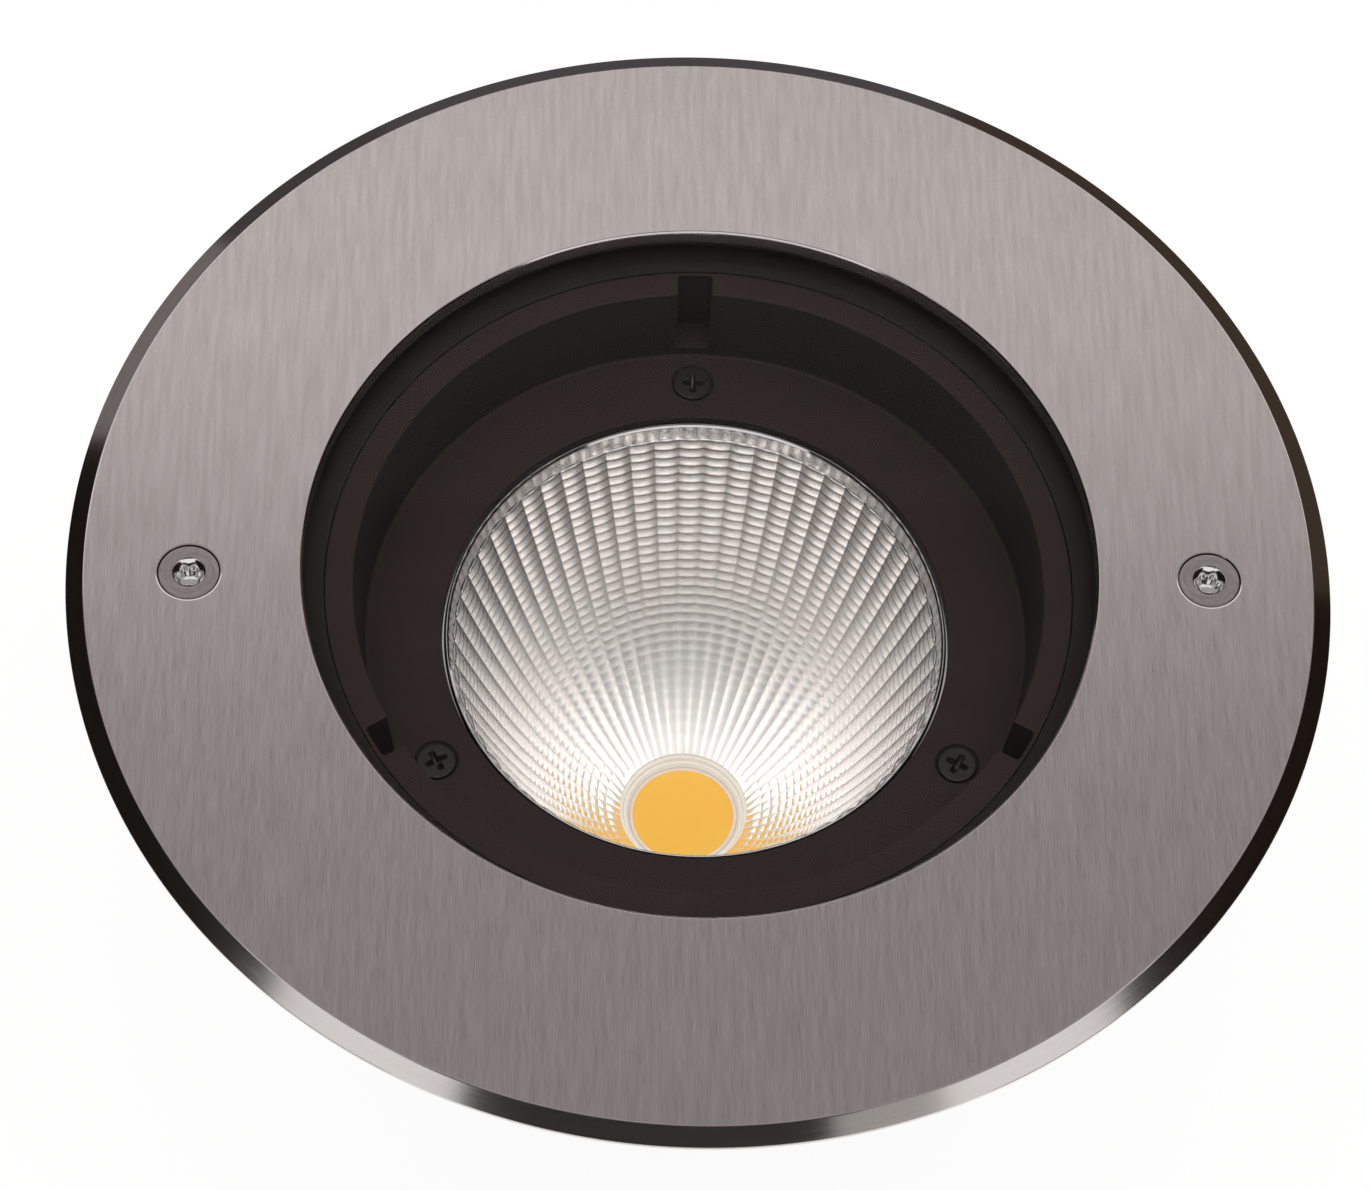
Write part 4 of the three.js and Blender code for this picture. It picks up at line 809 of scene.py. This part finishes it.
white_case = finish("polycarbonate_white", "#ebe8e3", "#e1ded9", 0.45, 0.5, 0.01)
pad_grey = finish("silicone_pad_grey", "#99a0a8", "#8b9199", 0.85, 0.5, 0.02)
milled = (0.2, 8, 0.2)
bare_aluminium = finish("aluminium_milled", "#cfd0d2", "#bcbec0", 0.34, milled, 0.004, METAL)
nickel = finish("nickel_plated_brass", "#cbc6bc", "#bdb8ae", 0.24, 0.5, 0.004, METAL)
plain_steel = finish("stainless_screw_plain", "#b9b4b0", "#a49f9b", 0.28, 0.2, 0.004, METAL)
red_silicone = finish("silicone_lead_red", "#b8231f", "#a81f1c", 0.5, 0.6, 0.004)
black_silicone = finish("silicone_lead_black", "#1e1d1d", "#171616", 0.5, 0.6, 0.004)
print(len(bpy.data.materials), "materials")

# %% [markdown]
# ## Every piece gets its finish and its body
# The CAD solids that stay keep their shape and take a finish by their slot's name. A new surface
# names the body that it moves with and the solids that it stands for, which are hidden.

# %% Finishes of the CAD solids
finish_of_slot = {
    "brushed_stainless": brushed,
    "screw_steel": plain_steel,
    "black_rubber": rubber,
    "black_steel": black_coat,
    "clear_glass": clear_glass,
    "black_casting": powder_coat,
    "baffle_black": baffle_paint,
    "black_screw": black_zinc,
    "nickel_brass": nickel,
    "mirror_aluminium": mirror,
    "white_plastic": white_pbt,
    "amber_phosphor": phosphor,
    "white_ceramic": ceramic,
    "grey_pad": pad_grey,
    "bare_aluminium": bare_aluminium,
    "red_insulation": red_silicone,
    "black_insulation": black_silicone,
    "black_plastic": black_nylon,
}
for solid in cad_nodes.values():
    for place in solid.material_slots:
        place.material = finish_of_slot[place.material.name.split(".")[0]]
for name in ("driver", "terminal_block"):
    cad_nodes[name].material_slots[0].material = white_case
print(len(cad_nodes), "CAD solids have a finish")


# %% Finishes and bodies of the new surfaces
def dress(piece, body, slot, finishes, *replaced):
    """Gives a new surface its finishes and its body, and hides the solids that it stands for. The
    slot is not used.
    """
    for made in finishes:
        piece.data.materials.append(made)
    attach(piece, body)
    if replaced:
        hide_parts(*replaced)


def second_finish(mesh, chosen):
    """The chosen faces get the second finish, and the others the first."""
    mesh.polygons.foreach_set("material_index", chosen.astype(np.int32))


def in_recess(mesh, centre):
    """Which faces lie in the drive: near the screw's axis, under its face and over its shank."""
    x, y, z = of_faces(mesh, "center").T / MM
    near = np.hypot(x - centre[0], y - centre[1]) < DRIVE + 0.02
    return near & (z < HEAD_TOP - 0.02) & (z > HEAD_TOP - 2.9)


dress(trim_ring, "trim", "brushed_stainless", [brushed, turned_edge], "trim_ring")
second_finish(trim_ring.data, ~on_flat_top(trim_ring.data))
for side, piece in steel_screws.items():
    dress(piece, f"{side}_screw", "screw_steel", [screw_head, punch_highlight], f"trim_screw_{side}")
    # The drive's faces take the steel with the painted highlight.
    second_finish(piece.data, in_recess(piece.data, at_turn(SCREW_TURNS[side], SCREW_CIRCLE)))
for i, piece in enumerate(black_screws):
    dress(piece, "housing", "black_screw", [black_zinc], f"baffle_screw_{i + 1}")
dress(clamp_ring, "housing", "black_steel", [black_coat], "clamp_ring")
dress(glass, "housing", "clear_glass", [clear_glass], "glass")
dress(gasket, "housing", "black_rubber", [rubber], "glass_gasket")
dress(baffle, "housing", "baffle_black", [baffle_paint], "baffle")
dress(reflector, "housing", "mirror_aluminium", [mirror], "reflector")
dress(gel, "housing", "amber_phosphor", [phosphor], "led_emitter")
dress(dam, "housing", "amber_phosphor", [dam_silicone])
dress(holder, "housing", "white_plastic", [white_pbt], "led_holder")
dress(housing, "housing", "black_casting", [powder_coat], "housing")
dress(base_cover, "housing", "black_casting", [powder_coat], "base_cover")
for i, piece in enumerate(base_screws):
    dress(piece, "housing", "screw_steel", [plain_steel], f"base_screw_{i + 1}")
for i, piece in enumerate(clamp_screws):
    dress(piece, "housing", "screw_steel", [plain_steel], f"clamp_screw_{i + 1}")
dress(gland_body, "housing", "nickel_brass", [nickel], "gland_body")
dress(gland_nut, "gland_nut", "nickel_brass", [nickel], "gland_nut")
dress(vent_plug, "housing", "black_plastic", [black_nylon], "vent_plug")
print("new surfaces are dressed")

# %% [markdown]
# ## Studio
# The lamp was photographed on white, in a light tent: a large soft light above, dark cloth at the
# sides and above the camera, and a paler back. Steel shows the tent, so the tent decides its look.
# The cloths are seen in reflections only, and openings are left between them where the ring's edges
# show white. Steel mirrors them directly, and the optics see them through the glass. So a card can
# be for one of the two: the grey cloth above is for the steel, and the two faces of the lamp above
# are for the optics. The floor stays white but keeps a faint shadow, and lies a hair under the
# lamp's foot.


# %% Floor, world, soft light and cloths
def card(name, corners, level, steel=True, optics=True, strength=1.0):
    """A flat sheet with four corners, in metres from the ring's middle, seen in reflections only.

    The steel sees it directly, and the optics see it through the glass: either may be left out.
    """
    mesh = bpy.data.meshes.new(name)
    middle = Vector((0, 0, TRIM_TOP * MM))
    mesh.from_pydata([Vector(corner) + middle for corner in corners], [], [(0, 1, 2, 3)])
    sheet = bpy.data.objects.new(name, mesh)
    scene.collection.objects.link(sheet)
    cloth, tree = material(name)
    shine = node(tree, "Emission", {"Color": linear(level), "Strength": strength})
    node(tree, "OutputMaterial", {"Surface": shine.outputs[0]})
    mesh.materials.append(cloth)
    sheet.visible_camera = sheet.visible_diffuse = sheet.visible_shadow = False
    sheet.visible_glossy, sheet.visible_transmission = steel, optics


def overhead(name, x_low, x_high, y_low, y_high, level, **seen_by):
    """A level sheet one metre over the ring."""
    corners = [(x_low, y_low, 1), (x_high, y_low, 1), (x_high, y_high, 1), (x_low, y_high, 1)]
    card(name, corners, level, **seen_by)


def upright(name, first, last, low, high, level, **seen_by):
    """An upright sheet between two places on the ground."""
    card(name, [(*first, low), (*last, low), (*last, high), (*first, high)], level, **seen_by)


def in_view(tree):
    """One where a ray comes from the camera or was mirrored or let through, and zero elsewhere."""
    path = node(tree, "LightPath").outputs
    either = {0: path["Is Camera Ray"], 1: path["Is Glossy Ray"]}
    either = node(tree, "Math", either, operation="MAXIMUM").outputs[0]
    seen = {0: either, 1: path["Is Transmission Ray"]}
    return node(tree, "Math", seen, operation="MAXIMUM").outputs[0]


floor_mesh = bpy.data.meshes.new("floor")
FLOOR_LEVEL = -0.0002
floor_corners = [(x, y, FLOOR_LEVEL) for x, y in ((-6, -6), (6, -6), (6, 6), (-6, 6))]
floor_mesh.from_pydata(floor_corners, [], [(0, 1, 2, 3)])
floor = bpy.data.objects.new("floor", floor_mesh)
scene.collection.objects.link(floor)
floor_paper, tree = material("floor_paper_white")
paper = node(tree, "BsdfDiffuse", {"Color": linear("#d8d8d8")})
faint = node(tree, "BsdfDiffuse", {"Color": linear("#585858")})
glow = node(tree, "Emission", {"Strength": 0.94})
shown = node(tree, "AddShader", {0: faint.outputs[0], 1: glow.outputs[0]})
mixed = node(tree, "MixShader", {0: in_view(tree), 1: paper.outputs[0], 2: shown.outputs[0]})
node(tree, "OutputMaterial", {"Surface": mixed.outputs[0]})
floor_mesh.materials.append(floor_paper)

WORLD_LEVEL = 0.45
world = bpy.data.worlds.new("studio")
scene.world = world
world.use_nodes = True
tree = world.node_tree
tree.nodes.clear()
level = node(tree, "MapRange", {"Value": in_view(tree), "To Min": WORLD_LEVEL, "To Max": 1.0})
backdrop = node(tree, "Background", {"Strength": level.outputs[0]})
node(tree, "OutputWorld", {"Surface": backdrop.outputs[0]})

soft_light = bpy.data.lights.new("soft_light", "AREA")
soft_light.shape = "RECTANGLE"
soft_light.size, soft_light.size_y = 1.1, 0.75
soft_light.energy = 6.2
soft_light.color = linear("#fffaf2")[:3]
soft_box = bpy.data.objects.new("soft_light", soft_light)
soft_box.location = (0, -0.08, 1.13)
soft_box.visible_glossy = soft_box.visible_transmission = False
scene.collection.objects.link(soft_box)
GROUND = -0.125
overhead("cloth_above", -0.95, 0.95, -0.15, 0.63, "#979595", optics=False)
overhead("cloth_back_high", -1.05, 1.05, 0.5, 1.7, "#a09d9b", steel=False)
overhead("cloth_camera", -0.46, 0.3, -0.9, -0.15, "#2c2a2a", optics=False)
overhead("cloth_beside_camera", 0.3, 0.54, -0.9, -0.15, "#a5a3a1", optics=False)
overhead("lamp_face", -0.44, 0.6, -0.4, 0.16, "#fffbf9", steel=False, strength=1.2)
overhead("lamp_face_front", -0.6, 0.6, -1.1, -0.4, "#fffbf9", steel=False, strength=2.1)
overhead("cloth_back_left", -1.5, -1.05, 0.63, 1.8, "#2a2624")
overhead("cloth_back_right", 1.05, 1.5, 0.63, 1.8, "#2a2624")
upright("cloth_left", (-1.4, -1.5), (-1.4, 1.3), GROUND, 1.62, "#1a1613")
upright("cloth_left_back", (-1.4, 1.3), (-0.9, 1.6), GROUND, 1.5, "#75706f")
upright("cloth_back_low", (-0.9, 1.6), (-0.5, 1.7), GROUND, 1.5, "#444042")
upright("cloth_right", (1.4, -1.5), (1.4, 0.75), GROUND, 1.47, "#1e1713")
upright("cloth_right_back", (1.4, 0.75), (0.5, 1.7), GROUND, 1.5, "#41372f")
upright("cloth_back", (-0.5, 1.7), (0.5, 1.7), GROUND, 1.7, "#4e4b4e")
upright("cloth_front", (-1.4, -1.5), (1.4, -1.5), GROUND, 1.0, "#24211f", optics=False)
table = [(-1.2, 0.35, -0.12), (1.2, 0.35, -0.12), (1.2, 1.7, -0.12), (-1.2, 1.7, -0.12)]
card("cloth_table", table, "#4e4b4e")
print("studio is ready")
